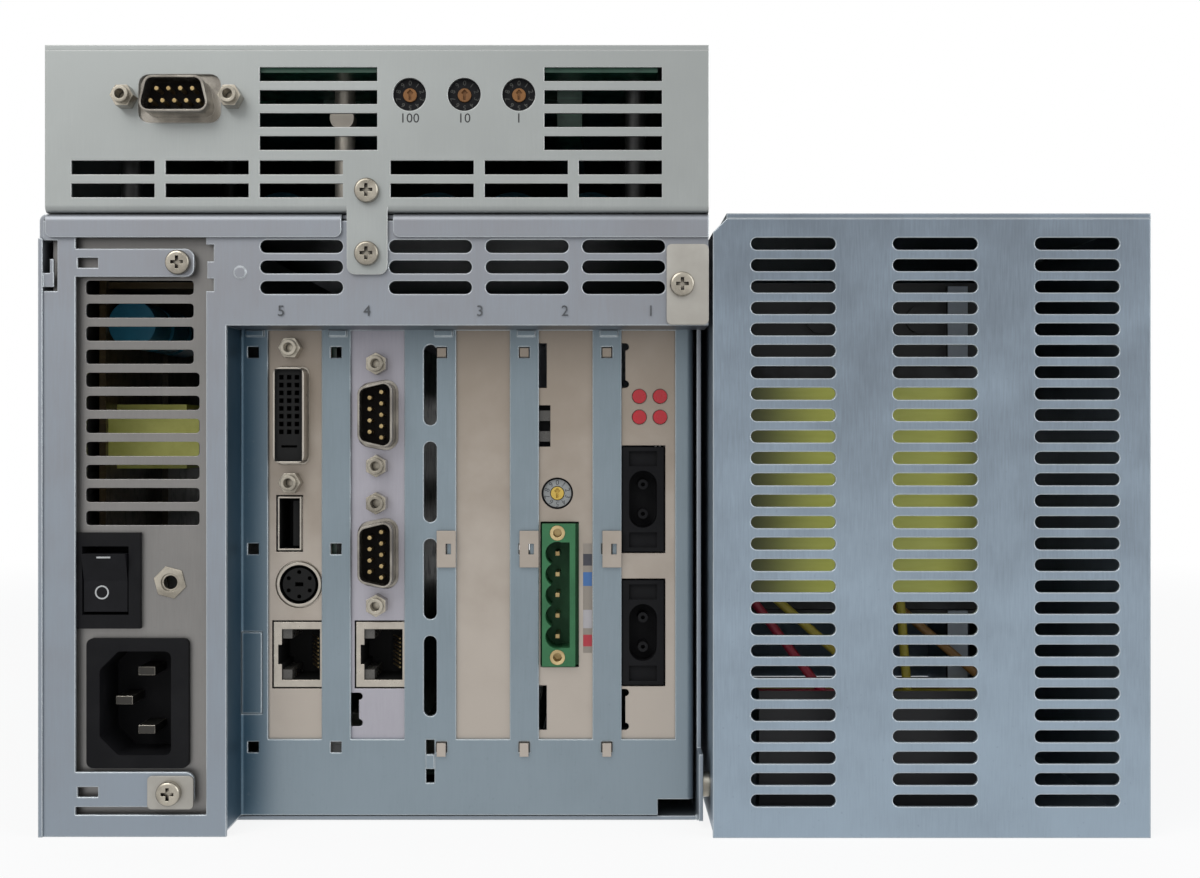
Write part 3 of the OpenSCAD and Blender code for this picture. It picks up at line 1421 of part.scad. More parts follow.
slit_l = 11;
upper_slit_up = 86.4;
upper_slit_z = slot_z + upper_slit_up;
lower_slit_up = 2.1;
lower_slit_z = slot_z + lower_slit_up;
led_window_up = 71.9;
led_window_z = slot_z + led_window_up;
led_window_w = 2.8;
led_window_h = 10.2;
port_gap = 0.4;

// Cards: a board with its edge in the socket, and a few chips on the side away from the wall
module card_board(n) {
  x = board_x(n);
  top = bay_top - card_top_gap;
  color(board_green) {
    plate_x(x, board_t) {
      translate([card_y, card_z]) square([card_l, top - card_z]);
      translate([card_y + edge_start, socket_top - tongue_h + sheet_t]) square([edge_l,
        card_z - socket_top + tongue_h]);
    }
    for (i = [1:3], j = [0, 1])
      box_at(x - chip_h, card_y + i * 3 * chip_w, card_z + (1 + 3 * j) * chip_w, chip_h, 2 * chip_w,
        2 * chip_w);
    for (z = [card_z + card_top_gap, top - card_top_gap - chip_w / 2])
      box_at(x, back_y, z, board_t, card_gap, chip_w / 2);
  }
}
module system_board() { card_board(5); }
module serial_board() { card_board(4); }
module fieldbus_board() { card_board(2); }
module optical_board() { card_board(1); }

// Monitor port: flange, shell and a block with three rows of eight holes and a flat blade's slots
dvi_dx = 0.8;
dvi_x = slot_x(5) - dvi_dx;
dvi_up = 79.6;
dvi_z = slot_z + dvi_up;
dvi_w = 7.6;
dvi_h = 23.4;
dvi_r = 1.8;
dvi_out = 5;
dvi_wall = 0.5;
dvi_flange_h = 38.6;
dvi_flange_w = 8.8;
dvi_pitch = 33;
dvi_depth = 12;
dvi_hole = 1.1;
dvi_hole_pitch = 1.9;
module dvi_port() {
  color(black) {
    difference() {
      union() {
        block(dvi_x, back_y, dvi_z, dvi_flange_w, sheet_t, dvi_flange_h);
        plate_y(bracket_y - dvi_out, dvi_out + bracket_t + sheet_t)
          round_window(dvi_x, dvi_z, dvi_w, dvi_h, dvi_r);
        box_at(dvi_x - dvi_flange_w / 2, back_y, dvi_z - dvi_h / 2, board_x(5)
          - dvi_x + dvi_flange_w / 2, dvi_depth, dvi_h);
      }
      plate_y(bracket_y - dvi_out - cut, sheet_t + cut)
        round_window(dvi_x, dvi_z, dvi_w - 2 * dvi_wall, dvi_h - 2 * dvi_wall, dvi_r - dvi_wall);
      for (i = [-1:1], j = [0:7])
        box_at(dvi_x + i * dvi_hole_pitch - dvi_hole / 2, bracket_y - dvi_out,
          dvi_z + dvi_h / 2 - (j + 1) * dvi_hole_pitch - dvi_hole,
          dvi_hole, dvi_out, dvi_hole);
      for (s = [-1, 1])
        rod_y(dvi_x, back_y - cut, dvi_z + s * dvi_pitch / 2, thread_r,
          sheet_t + 2 * cut);
      box_at(dvi_x - dvi_w / 4, bracket_y - dvi_out, dvi_z - dvi_h / 2 + 2 * dvi_hole_pitch, dvi_w / 2,
        dvi_out, dvi_hole / 2);
    }
  }
}
usb_dx = 1.5;
usb_x = slot_x(5) - usb_dx;
usb_up = 53;
usb_z = slot_z + usb_up;
usb_w = 5.8;
usb_h = 13.2;
usb_wall = 0.4;
usb_depth = 14;
usb_tongue_w = 1.8;
module usb_port() {
  color(nickel) {
    difference() {
      block(usb_x, bracket_y, usb_z, usb_w, usb_depth, usb_h);
      box_at(usb_x - usb_w / 2 + usb_wall, bracket_y - cut, usb_z - usb_h / 2 + usb_wall,
        usb_w - 2 * usb_wall,
        usb_depth - sheet_t + cut, usb_h - 2 * usb_wall);
    }
    box_at(usb_x + usb_w / 2 - usb_wall - usb_tongue_w, bracket_y + sheet_t, usb_z - usb_h / 2 + sheet_t,
      usb_tongue_w, usb_depth - sheet_t, usb_h - 2 * sheet_t);
    box_at(usb_x + usb_w / 2, back_y + seat_gap, usb_z - usb_h / 2, board_x(5)
      - usb_x - usb_w / 2, usb_depth / 2, usb_h);
  }
}
ps2_dx = 0.9;
ps2_x = slot_x(5) + ps2_dx;
ps2_up = 38;
ps2_z = slot_z + ps2_up;
ps2_r = 5.45;
ps2_wall = 0.7;
ps2_depth = 11;
ps2_pin_r = 0.5;
ps2_ring_share = 0.55;
module ps2_port() {
  color(black) difference() {
    union() {
      rod_y(ps2_x, bracket_y - bracket_t / 2, ps2_z, ps2_r, bracket_t + bracket_t / 2 + seat_gap);
      box_at(ps2_x - ps2_r - ps2_wall, back_y + seat_gap, ps2_z - ps2_r - ps2_wall,
        board_x(5) - ps2_x + ps2_r + ps2_wall,
        ps2_depth, 2 * (ps2_r + ps2_wall));
    }
    difference() {
      rod_y(ps2_x, bracket_y - bracket_t - cut, ps2_z, ps2_r - ps2_wall, ps2_depth / 2 + cut);
      rod_y(ps2_x, bracket_y - bracket_t / 4, ps2_z, ps2_r - 2 * ps2_wall, ps2_depth);
    }
    for (a = [30:60:330])
      rod_y(ps2_x + ps2_r * ps2_ring_share * cos(a), bracket_y - bracket_t,
        ps2_z + ps2_r * ps2_ring_share * sin(a), ps2_pin_r, ps2_depth / 2);
    box_at(ps2_x - ps2_pin_r * 2, bracket_y - bracket_t, ps2_z - ps2_pin_r, 4 * ps2_pin_r, ps2_depth / 2,
      2 * ps2_pin_r);
  }
}

// Network ports: the latch side is on the left, and the body stands on the board
lan_w = 13.6;
lan_h = 16;
lan_d = 21;
lan_up = 12.7;
lan_z = slot_z + lan_up;
lan_socket_w = 9.4;
lan_socket_h = 12.5;
lan_socket_x = 2;
lan_latch_w = 0.9;
lan_latch_h = 4.8;
lan_socket_d = 14;
lan_led = 2.4;
function lan_x(n) = board_x(n) - lan_w;
module lan_cut(n) {
  translate([lan_x(n) - port_gap, lan_z - port_gap]) square([lan_w + 2 * port_gap, lan_h + 2 * port_gap]);
}
module lan_ports() {
  color(nickel) for (n = [4, 5]) difference() {
    box_at(lan_x(n), bracket_y, lan_z, lan_w, lan_d, lan_h);
    box_at(lan_x(n) + lan_socket_x, bracket_y - cut, lan_z + (lan_h - lan_socket_h) / 2, lan_socket_w,
      lan_socket_d + cut, lan_socket_h);
    box_at(lan_x(n) + lan_socket_x - lan_latch_w, bracket_y - cut, lan_z + (lan_h - lan_latch_h) / 2,
      lan_latch_w + cut,
      lan_socket_d + cut, lan_latch_h);
  }
}

// Field bus terminal: a green housing with one scalloped pocket for five poles and two screw flanges
term_poles = 5;
term_pitch = 5.08;
term_dx = 5.8;
term_x = slot_x(2) - term_dx;
term_up = 18;
term_z = slot_z + term_up;
term_w = 8.2;
term_h = 35;
term_side_gap = 0.8;
term_d = 12;
term_out = 2.2;
term_y0 = bracket_y - term_out;
term_pin = 1;
term_floor = 2;
term_pin_dx = 3.8;
term_pin_x = term_x + term_pin_dx;
pole_r = 2.95;
term_rim = 1.4;
term_eye_r = 1.9;
function term_pin_z(i) = term_z + term_h / 2 + (2 - i) * term_pitch;
module terminal_header() {
  color([0.16, 0.45, 0.22]) difference() {
    union() {
      box_at(term_x, term_y0, term_z, term_w, term_d, term_h);
      box_at(term_x + term_w, back_y + seat_gap, term_z, board_x(2)
        - term_x - term_w, term_d / 2, term_h);
    }
    plate_y(term_y0 - cut, term_d - term_floor + cut) {
      for (i = [0:term_poles - 1]) translate([term_pin_x, term_pin_z(i)])
        circle(pole_r);
      translate([term_pin_x - term_pin, term_pin_z(term_poles - 1)
        - term_pitch / 2 - term_pin / 4])
        square([term_w - term_rim - term_pin_x + term_x + term_pin,
          term_poles * term_pitch + term_pin / 2]);
    }
    for (i = [0:term_poles - 1])
      block(term_pin_x, term_y0, term_pin_z(i), term_pin, 2 * term_d, term_pin);
    for (s = [-1, 1])
      rod_y(term_pin_x, term_y0 - cut, term_eye_z(s), term_eye_r, term_d / 2 + cut);
  }
}
function term_eye_z(s) = term_z + term_h / 2 + s * term_pitch * 3;

// Optical ports: a shuttered black housing with two ferrules in an oval pocket
fibre_w = 10.2;
fibre_h = 25.7;
fibre_dx = 6.4;
fibre_x = slot_x(1) - fibre_dx;
fibre_in_up = 46.1;
fibre_in_z = slot_z + fibre_in_up;
fibre_out_up = 13.3;
fibre_out_z = slot_z + fibre_out_up;
fibre_d = 16;
ferrule_pitch = 7.25;
ferrule_r = 1.25;
ferrule_bore = 0.5;
pocket_r = 3.4;
pocket_d = 6;
recess_w = 6.8;
recess_h = 3.7;
module optical_ports() {
  color(black) for (z = [fibre_in_z, fibre_out_z]) {
    difference() {
      union() {
        box_at(fibre_x, bracket_y - bracket_t / 2, z, fibre_w, fibre_d, fibre_h);
        box_at(fibre_x + fibre_w, back_y + seat_gap, z, board_x(1)
          - fibre_x - fibre_w, fibre_d / 2, fibre_h);
      }
      plate_y(bracket_y - bracket_t / 2 - cut, pocket_d + cut)
        translate([fibre_x + fibre_w / 2 + pocket_r,
          z + fibre_h / 2 - ferrule_pitch / 2 - pocket_r])
          rotate(90) round_slot(ferrule_pitch + 2 * pocket_r, 2 * pocket_r);
      for (s = [0, 1])
        box_at(fibre_x + (fibre_w - recess_w) / 2, bracket_y - bracket_t / 2 - cut,
          z + sheet_t + s * (fibre_h - recess_h - 2 * sheet_t), recess_w,
            sheet_t + cut, recess_h);
    }
    for (s = [-1, 1]) translate([fibre_x + fibre_w / 2, bracket_y + bracket_t / 2,
      z + fibre_h / 2 + s * ferrule_pitch / 2]) difference() {
        rod_y(0, 0, 0, ferrule_r, pocket_d);
        rod_y(0, -cut, 0, ferrule_bore, pocket_d / 2);
      }
  }
}

// Status lamps: four domes in slot 1, two in the window of slot 2, and two windows in each network port
led_r = 1.7;
led_pitch = 5.1;
led_dx = 2.2;
led_x = slot_x(1) - led_dx;
led_up = 79.2;
led_z = slot_z + led_up;
led_l = 6;
led_block_h = 2.55;
module status_leds() {
  color([0.75, 0.05, 0.08]) {
    for (c = [0, 1], r = [0, 1]) {
      rod_y(led_x + c * led_pitch, bracket_y - bracket_t / 2, led_z + r * led_pitch, led_r, led_l);
      box_at(led_x + c * led_pitch, back_y + led_l / 2, led_z + r * led_pitch - led_r / 2,
        board_x(1) - led_x - c * led_pitch, led_l / 4, led_r);
    }
    for (r = [0, 1])
      box_at(slot_x(2) - slot_w / 2, back_y + seat_gap,
        led_window_z + led_window_h / 4 - led_block_h / 2 + r * led_window_h / 2,
        board_x(2) - slot_x(2) + slot_w / 2, led_r, led_block_h);
    for (n = [4, 5], s = [0, 1])
      box_at(lan_x(n) + lan_socket_x, bracket_y + bracket_t, lan_z + (lan_h - lan_socket_h)
        / 2 + s * (lan_socket_h - lan_led),
        lan_led, lan_socket_d - bracket_t, lan_led);
  }
}

front_panel();
slot_panel();
base_tray();
left_cover();
top_cover();
rear_panel();
unit_studs();
hinge_bracket();
panel_screws();
ground_clips();
backup_chassis();
backup_cover();
backup_board();
backup_battery();
board_standoffs();
dial_housings();
dial_hundreds();
dial_tens();
dial_ones();
dial_board_id();
dsub_shells();
dsub_inserts();
contact_pins();
jackscrews();
side_front();
side_chassis();
side_cover();
transformer_core();
transformer_coil();
transformer_bracket();
wire_loom();
side_fan_frame();
side_fan_rotor();
psu_case();
psu_board();
psu_transformer();
psu_capacitors();
psu_inlet();
inlet_pins();
switch_housing();
switch_rocker();
clamp_nut();
clamp_plate();
backplane();
card_sockets();
card_brackets();
serial_bracket();
system_board();
serial_board();
fieldbus_board();
optical_board();
dvi_port();
usb_port();
ps2_port();
lan_ports();
terminal_header();
optical_ports();
status_leds();
main_fan_frame();
main_fan_rotor();
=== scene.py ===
# %% [markdown]
# An industrial computer seen from its port side: a plated steel case with five card slots, a power
# supply in a column on the left, a backup power unit on top and a tall vented unit on the right.
# The solids already have their real shapes and places, so this lesson dresses them: it gives every
# piece a finish, and adds the small things that are printed, stamped or moulded on.

# %% Load the solids
import math
import bmesh
import bpy
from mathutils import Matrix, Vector


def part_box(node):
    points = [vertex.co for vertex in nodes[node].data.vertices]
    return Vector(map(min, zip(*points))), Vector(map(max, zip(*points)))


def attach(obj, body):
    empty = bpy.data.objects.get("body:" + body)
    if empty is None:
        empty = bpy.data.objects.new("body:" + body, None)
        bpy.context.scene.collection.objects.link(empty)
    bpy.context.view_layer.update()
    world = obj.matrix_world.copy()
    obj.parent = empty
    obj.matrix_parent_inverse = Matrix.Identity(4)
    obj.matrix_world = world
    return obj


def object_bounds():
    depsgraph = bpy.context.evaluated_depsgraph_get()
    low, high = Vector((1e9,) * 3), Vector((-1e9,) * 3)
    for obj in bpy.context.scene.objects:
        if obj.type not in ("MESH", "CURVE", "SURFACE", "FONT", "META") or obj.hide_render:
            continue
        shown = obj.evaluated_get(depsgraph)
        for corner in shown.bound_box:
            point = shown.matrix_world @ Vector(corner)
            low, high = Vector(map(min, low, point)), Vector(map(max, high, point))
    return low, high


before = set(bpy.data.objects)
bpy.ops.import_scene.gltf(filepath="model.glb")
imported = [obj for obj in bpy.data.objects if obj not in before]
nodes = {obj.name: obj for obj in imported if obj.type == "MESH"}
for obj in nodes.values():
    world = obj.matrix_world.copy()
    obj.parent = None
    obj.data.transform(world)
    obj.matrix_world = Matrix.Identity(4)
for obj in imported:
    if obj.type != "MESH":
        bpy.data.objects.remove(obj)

cad_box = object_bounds()
MM = 0.001
print(len(nodes), "solids, box in mm:", [[round(c / MM, 1) for c in corner] for corner in cad_box])

# %% [markdown]
# A helper turns a box into its middle, because sockets and dials are placed by their middle.

# %% Places read from the solids
def middle(node):
    """The middle of a solid's box."""
    low, high = (Vector(corner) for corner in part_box(node))
    return (low + high) / 2


front_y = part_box("top_cover")[0][1]
face_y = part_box("front_panel")[0][1]
floor_z = cad_box[0][2]
print("front lip at", round(front_y / MM, 1), "mm")

# %% [markdown]
# The photograph was taken square on, from near: the side walls of the card bay show, and they would
# not from far away. The distance follows from how much smaller the recessed slot panel looks than
# the face in front of it. The lens then follows from the width that the picture takes in.

# %% The camera
CAMERA_DISTANCE = 360 * MM
CAMERA_X = 1.41 * MM
CAMERA_Z = 93.9 * MM
PICTURE_WIDTH = 282.35 * MM
SENSOR_WIDTH = 36
NEAREST = 10 * MM

camera_data = bpy.data.cameras.new("camera")
camera_data.sensor_width = SENSOR_WIDTH
camera_data.lens = SENSOR_WIDTH * CAMERA_DISTANCE / PICTURE_WIDTH
camera_data.clip_start = NEAREST
camera = bpy.data.objects.new("camera", camera_data)
camera.location = (CAMERA_X, front_y - CAMERA_DISTANCE, CAMERA_Z)
camera.rotation_euler = (math.radians(90), 0, 0)
bpy.context.scene.collection.objects.link(camera)
bpy.context.scene.camera = camera
bpy.context.scene.view_settings.view_transform = "Standard"
print("lens", round(camera_data.lens, 1), "mm")

# %% [markdown]
# Shader maths reads best as ordinary sums. This small class wraps a socket, so `1 - mask * 0.3`
# builds its Math nodes by itself. Colours can't go through Math nodes, which turn them grey, so a
# method mixes them instead, and another one makes any node with its settings and inputs. An input
# is named by its label, with _ for a space, or by its number, as i0 or i6.

# %% Sockets that can be added and multiplied
MIXED_COLOUR = 2  # a Mix node has an output for each kind of value, and this one is for colours
NOISE_ROUGHNESS = 0.55


class Sock:
    """A socket of a material's node tree, for use in sums."""

    def __init__(self, tree, socket):
        self.tree = tree
        self.socket = socket

    def node(self, kind, settings=None, **values):
        """Makes a node, sets it up, fills its sockets, and returns it."""
        made = self.tree.nodes.new(kind)
        for name, value in (settings or {}).items():
            setattr(made, name, value)
        for name, value in values.items():
            numbered = name[0] == "i" and name[1:].isdigit()
            target = made.inputs[int(name[1:]) if numbered else name.replace("_", " ")]
            if isinstance(value, Sock):
                self.tree.links.new(value.socket, target)
            else:
                target.default_value = value
        return made

    def out(self, made, name=0):
        """One output of a node, wrapped."""
        return Sock(self.tree, made.outputs[name])

    def math(self, operation, *values):
        """A Math node on numbers and sockets."""
        inputs = {f"i{i}": v for i, v in enumerate(values)}
        return self.out(self.node("ShaderNodeMath", {"operation": operation}, **inputs))

    def __add__(self, other):
        return self.math("ADD", self, other)

    def __radd__(self, other):
        return self.math("ADD", other, self)

    def __sub__(self, other):
        return self.math("SUBTRACT", self, other)

    def __rsub__(self, other):
        return self.math("SUBTRACT", other, self)

    def __mul__(self, other):
        return self.math("MULTIPLY", self, other)

    def __rmul__(self, other):
        return self.math("MULTIPLY", other, self)

    def __gt__(self, other):
        return self.math("GREATER_THAN", self, other)

    def __lt__(self, other):
        return self.math("LESS_THAN", self, other)

    def __abs__(self):
        return self.math("ABSOLUTE", self)

    def clamp(self, low=0.0, high=1.0):
        """Keeps a value between two limits."""
        return self.math("MINIMUM", self.math("MAXIMUM", self, low), high)

    def step(self, low, high):
        """0 below low, 1 above high, smooth between."""
        made = self.node("ShaderNodeMapRange", {"interpolation_type": "SMOOTHSTEP"},
                         Value=self, From_Min=low, From_Max=high)
        return self.out(made)

    def mix(self, first, second):
        """Colour first where this is 0, second where it is 1."""
        made = self.node("ShaderNodeMix", {"data_type": "RGBA"}, i0=self, i6=first, i7=second)
        return self.out(made, MIXED_COLOUR)


def new_material(name):
    """An empty node material, with its place in space and its surface shader."""
    material = bpy.data.materials.new(name)
    material.use_nodes = True
    tree = material.node_tree
    shader = tree.nodes["Principled BSDF"]
    coordinates = tree.nodes.new("ShaderNodeTexCoord")
    place = Sock(tree, coordinates.outputs["Object"])
    return material, shader, place


def connect(shader, place, **values):
    """Fills the shader's own sockets with numbers, colours or sums."""
    for name, value in values.items():
        target = shader.inputs[name.replace("_", " ")]
        if isinstance(value, Sock):
            place.tree.links.new(value.socket, target)
        else:
            target.default_value = value


def axis_of(place, index):
    """The X, Y or Z of a place, in metres."""
    return place.out(place.node("ShaderNodeSeparateXYZ", None, Vector=place), index)


def noise(place, scale, detail=3.0, stretch=(1, 1, 1)):
    """Cloudy noise about 0.5. Its features are about 1 / scale metres across, and where stretch is
    small they are drawn out."""
    moved = place.node("ShaderNodeMapping", None, Vector=place, Scale=stretch)
    made = place.node("ShaderNodeTexNoise", None, Vector=place.out(moved), Scale=scale,
                      Detail=detail, Roughness=NOISE_ROUGHNESS)
    return place.out(made, "Fac")


def bump(place, height, strength, distance, **values):
    """A bump from a height map. It starts from the surface's normal, or from a Normal given."""
    made = place.node("ShaderNodeBump", None, Strength=strength, Distance=distance, Height=height,
                      **values)
    return place.out(made)


print("shader sums are ready")

# %% [markdown]
# The case is zinc-plated sheet: a satin metal with a blue cast, fine rolling lines and faint
# cloudy patches where the plating is passivated. The lines follow the sheet, upright here, and
# painted shade makes the sheet darker higher up. A soft edge comes from the Bevel node, which
# rounds the shading of a corner without changing the mesh. Where it turns the normal, the sheet is
# painted
# bright: partly wear, partly a painted highlight.

# %% Plated sheet
EDGE_RADIUS = 0.25 * MM
ROLLING_FINENESS = 2600
CLOUD_FINENESS = 55
SPECK_FINENESS = 900
ROLLING_STRETCH = (1, 1, 0.06)
# The height over which painted shade darkens the sheets and the brackets towards the top.
PAINTED_SHADE_SPAN = 150 * MM
SHEET_METAL = 0.8
SHEET_RELIEF = 0.05 * MM


def edges(place, radius=EDGE_RADIUS):
    """How much a spot lies on a rounded edge: 0 on a flat face."""
    rounded = place.out(place.node("ShaderNodeBevel", {"samples": 4}, Radius=radius))
    flat = place.out(place.node("ShaderNodeNewGeometry", None), "True Normal")
    same = place.node("ShaderNodeVectorMath", {"operation": "DOT_PRODUCT"}, i0=rounded, i1=flat)
    return rounded, (1 - place.out(same, "Value")).clamp()


def plated_sheet(name, light, dark, rim_wear_and_highlight, roughness=0.42, painted_reflection=None, rim=0.5):
    """Rolled and plated steel sheet, its bright rim in millimetres: partly wear, partly a painted
    highlight. A colour given for a painted reflection fades out between two places along X."""
    material, shader, place = new_material(name)
    # Painted shade: the sheet gets darker higher up, mixed into its tone.
    painted_shade_fall = axis_of(place, 2) * (1 / PAINTED_SHADE_SPAN)
    clouds = noise(place, CLOUD_FINENESS, detail=4)
    lines = noise(place, ROLLING_FINENESS, detail=2, stretch=ROLLING_STRETCH)
    specks = noise(place, SPECK_FINENESS, detail=1).step(0.68, 0.8)
    rounded, edge = edges(place, rim * MM)
    tone_and_shade = (clouds * 0.35 + lines * 0.2 + 0.425 - painted_shade_fall * 0.36).step(0.2, 0.8)
    colour = tone_and_shade.mix(dark, light)
    # A painted reflection: a dark colour that fades out along X, strongest near a wall.
    if painted_reflection:
        start, end, tint = painted_reflection
        depth = 1 - axis_of(place, 0).step(start, end)
        colour = (depth * (0.65 + clouds * 0.4)).clamp().mix(colour, tint)
    # The rim is painted bright: partly wear, partly a painted highlight.
    colour = (edge * 5).clamp().mix(colour, rim_wear_and_highlight)
    colour = (specks * 0.25).mix(colour, dark)
    rough = (roughness - 0.06) + clouds * 0.1 + lines * 0.06 - edge * 0.15
    relief = bump(place, lines + clouds * 0.5, 0.12, SHEET_RELIEF, Normal=rounded)
    connect(shader, place, Base_Color=colour, Metallic=SHEET_METAL, Roughness=rough, Normal=relief)
    return material


# The rim colour of the zinc sheets: partly wear, partly a painted highlight.
WEAR_AND_HIGHLIGHT = (0.68, 0.73, 0.75, 1)
THIN_RIM = 0.25
bay_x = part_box("slot_panel")[0][0]
zinc = plated_sheet("zinc_sheet", (0.255, 0.295, 0.34, 1), (0.222, 0.227, 0.246, 1), WEAR_AND_HIGHLIGHT)
side_zinc = plated_sheet("side_zinc", (0.29, 0.36, 0.43, 1), (0.135, 0.16, 0.19, 1), WEAR_AND_HIGHLIGHT)
# The card bay gets a dark blue painted reflection that fades out from its left wall.
bay_zinc = plated_sheet("bay_zinc", (0.228, 0.278, 0.315, 1), (0.165, 0.205, 0.23, 1), WEAR_AND_HIGHLIGHT,
                        painted_reflection=(bay_x + 1 * MM, bay_x + 12 * MM, (0.03, 0.08, 0.125, 1)))
backup_grey = plated_sheet("backup_sheet", (0.37, 0.39, 0.385, 1), (0.28, 0.295, 0.29, 1),
                           (0.62, 0.63, 0.62, 1), rim=0.35)
supply_grey = plated_sheet("supply_sheet", (0.235, 0.228, 0.22, 1), (0.165, 0.16, 0.154, 1),
                           (0.34, 0.33, 0.32, 1), 0.38, rim=THIN_RIM)
lavender = plated_sheet("serial_plate", (0.39, 0.38, 0.42, 1), (0.29, 0.28, 0.315, 1),
                        (0.5, 0.49, 0.52, 1), 0.4, rim=THIN_RIM)
# The inlet pins are painted dark as shade, with a painted highlight on their rim.
pin_shade_and_glint = plated_sheet("pin_shade_and_glint", (0.05, 0.047, 0.042, 1), (0.025, 0.024, 0.022, 1),
                         (0.75, 0.7, 0.6, 1), 0.3, rim=THIN_RIM)
print("seven sheet finishes")

# %% [markdown]
# Brackets, screws and connector shells are nickel-plated. Nickel is warmer than zinc and smoother,
# so it mirrors what is around it. It carries tarnish and fine handling scratches. Painted shade
# darkens the screws' recesses: the Ambient Occlusion node tells how open a spot is. The brackets
# are painted darker higher up, a painted reflection.

# %% Nickel, brass and bare steel
# The colour of the painted shade in recesses, and how far from a wall it reaches.
RECESS_SHADE_COLOUR = (0.02, 0.017, 0.014, 1)
RECESS_SHADE_REACH = 1.3 * MM
SCRATCH_FINENESS = 3500
SCRATCH_STRETCH = (1, 1, 0.2)
SCRATCH_RELIEF = 0.03 * MM
SHADED_FROM = 0.45


def bright_metal(name, light, dark, roughness, metal=0.9, cloud=140, painted_shade_fall=0.0, recess_shade=0.0):
    """Smooth plating with fine scratches and a little tarnish. The fall paints shade that makes it
    darker higher up, and the reach is how far from a wall painted shade gathers in recesses."""
    material, shader, place = new_material(name)
    tarnish_and_shade = noise(place, cloud, detail=4)
    # Painted shade: darker higher up, mixed into the tarnish.
    if painted_shade_fall:
        height = axis_of(place, 2) * (1 / PAINTED_SHADE_SPAN)
        tarnish_and_shade = tarnish_and_shade * 0.35 + 0.32 + (height - SHADED_FROM) * painted_shade_fall
    fine = noise(place, SCRATCH_FINENESS, detail=2, stretch=SCRATCH_STRETCH)
    rounded, edge = edges(place)
    colour = tarnish_and_shade.step(0.35, 0.7).mix(light, dark)
    # Painted shade in recesses: darker where the Ambient Occlusion node finds a spot closed in.
    if recess_shade:
        looked = place.node("ShaderNodeAmbientOcclusion", {"samples": 8}, Distance=recess_shade)
        open_share = place.out(looked, "AO")
        colour = (1 - open_share.step(0.2, 0.75)).mix(colour, RECESS_SHADE_COLOUR)
    rough = roughness + tarnish_and_shade * 0.12 + fine * 0.06 - edge * 0.1
    relief = bump(place, fine, 0.1, SCRATCH_RELIEF, Normal=rounded)
    connect(shader, place, Base_Color=colour, Metallic=metal, Roughness=rough, Normal=relief)
    return material


# The brackets are painted darker higher up: a painted reflection.
bracket_nickel = bright_metal("bracket_nickel", (0.42, 0.375, 0.33, 1), (0.265, 0.225, 0.185, 1),
                              0.3, metal=0.75, cloud=60, painted_shade_fall=0.5)
# The screws, jackscrews, nut and studs get painted shade in their recesses.
nickel = bright_metal("nickel", (0.44, 0.405, 0.34, 1), (0.22, 0.2, 0.165, 1), 0.16,
                      recess_shade=RECESS_SHADE_REACH)
shell_nickel = bright_metal("shell_nickel", (0.36, 0.335, 0.295, 1), (0.17, 0.155, 0.135, 1), 0.14)
plate_nickel = bright_metal("plate_nickel", (0.42, 0.405, 0.37, 1), (0.33, 0.315, 0.285, 1), 0.3,
                            metal=0.75, cloud=60)
gold = bright_metal("gold_contact", (0.42, 0.32, 0.16, 1), (0.28, 0.2, 0.09, 1), 0.2)
brass = bright_metal("brass_insert", (0.62, 0.49, 0.26, 1), (0.4, 0.3, 0.15, 1), 0.25)
laminations = bright_metal("laminations", (0.05, 0.05, 0.055, 1), (0.025, 0.025, 0.025, 1), 0.5,
                           metal=0.6)
print("seven bright metals, grime within", round(RECESS_SHADE_REACH / MM, 1), "mm of a wall")

# %% [markdown]
# The plastics are moulded: black housings with a fine spark-eroded grain, the green of the field
# bus terminal, ivory card sockets and the shrink sleeve of the cells. One function makes them all
# from two colours, how glossy they are and how strong and how fine their grain is.

# %% Moulded plastics
DUST_FINENESS = 90
MOULD_EDGE = 0.2 * MM
MOULD_RELIEF = 0.04 * MM


def moulded(name, colour, shade, roughness, grain=0.35, scale=2400, sheen=0.3):
    """Moulded plastic with a fine grain, a little dust and slightly polished edges."""
    material, shader, place = new_material(name)
    coarse = noise(place, DUST_FINENESS, detail=3)
    fine = noise(place, scale, detail=2)
    rounded, edge = edges(place, MOULD_EDGE)
    tint = (coarse * 0.8 + fine * 0.2).step(0.3, 0.75).mix(colour, shade)
    rough = roughness + coarse * 0.1 + fine * 0.08 - edge * 0.12
    relief = bump(place, fine, grain, MOULD_RELIEF, Normal=rounded)
    connect(shader, place, Base_Color=tint, Roughness=rough, Normal=relief,
            Specular_IOR_Level=sheen)
    return material


black = moulded("black_plastic", (0.005, 0.005, 0.006, 1), (0.010, 0.010, 0.011, 1), 0.5, sheen=0.1)
rocker_black = moulded("rocker_plastic", (0.005, 0.005, 0.006, 1), (0.009, 0.009, 0.011, 1), 0.4,
                       sheen=0.12)
insert_brown = moulded("connector_core", (0.006, 0.005, 0.0045, 1), (0.01, 0.008, 0.007, 1), 0.55,
                       sheen=0.1)
terminal_green = moulded("green_plastic", (0.035, 0.15, 0.062, 1), (0.022, 0.1, 0.042, 1), 0.42)
ivory = moulded("socket_plastic", (0.6, 0.58, 0.5, 1), (0.5, 0.48, 0.4, 1), 0.5)
cell_blue = moulded("cell_sleeve", (0.03, 0.22, 0.34, 1), (0.02, 0.14, 0.23, 1), 0.3, grain=0.1)
yellow_tape = moulded("yellow_tape", (0.82, 0.82, 0.24, 1), (0.66, 0.66, 0.16, 1), 0.32,
                      grain=0.15, scale=700)
rotor_orange = moulded("dial_plastic", (0.22, 0.095, 0.025, 1), (0.14, 0.06, 0.018, 1), 0.4)
rotor_yellow = moulded("dial_yellow", (0.6, 0.42, 0.09, 1), (0.48, 0.32, 0.06, 1), 0.4)
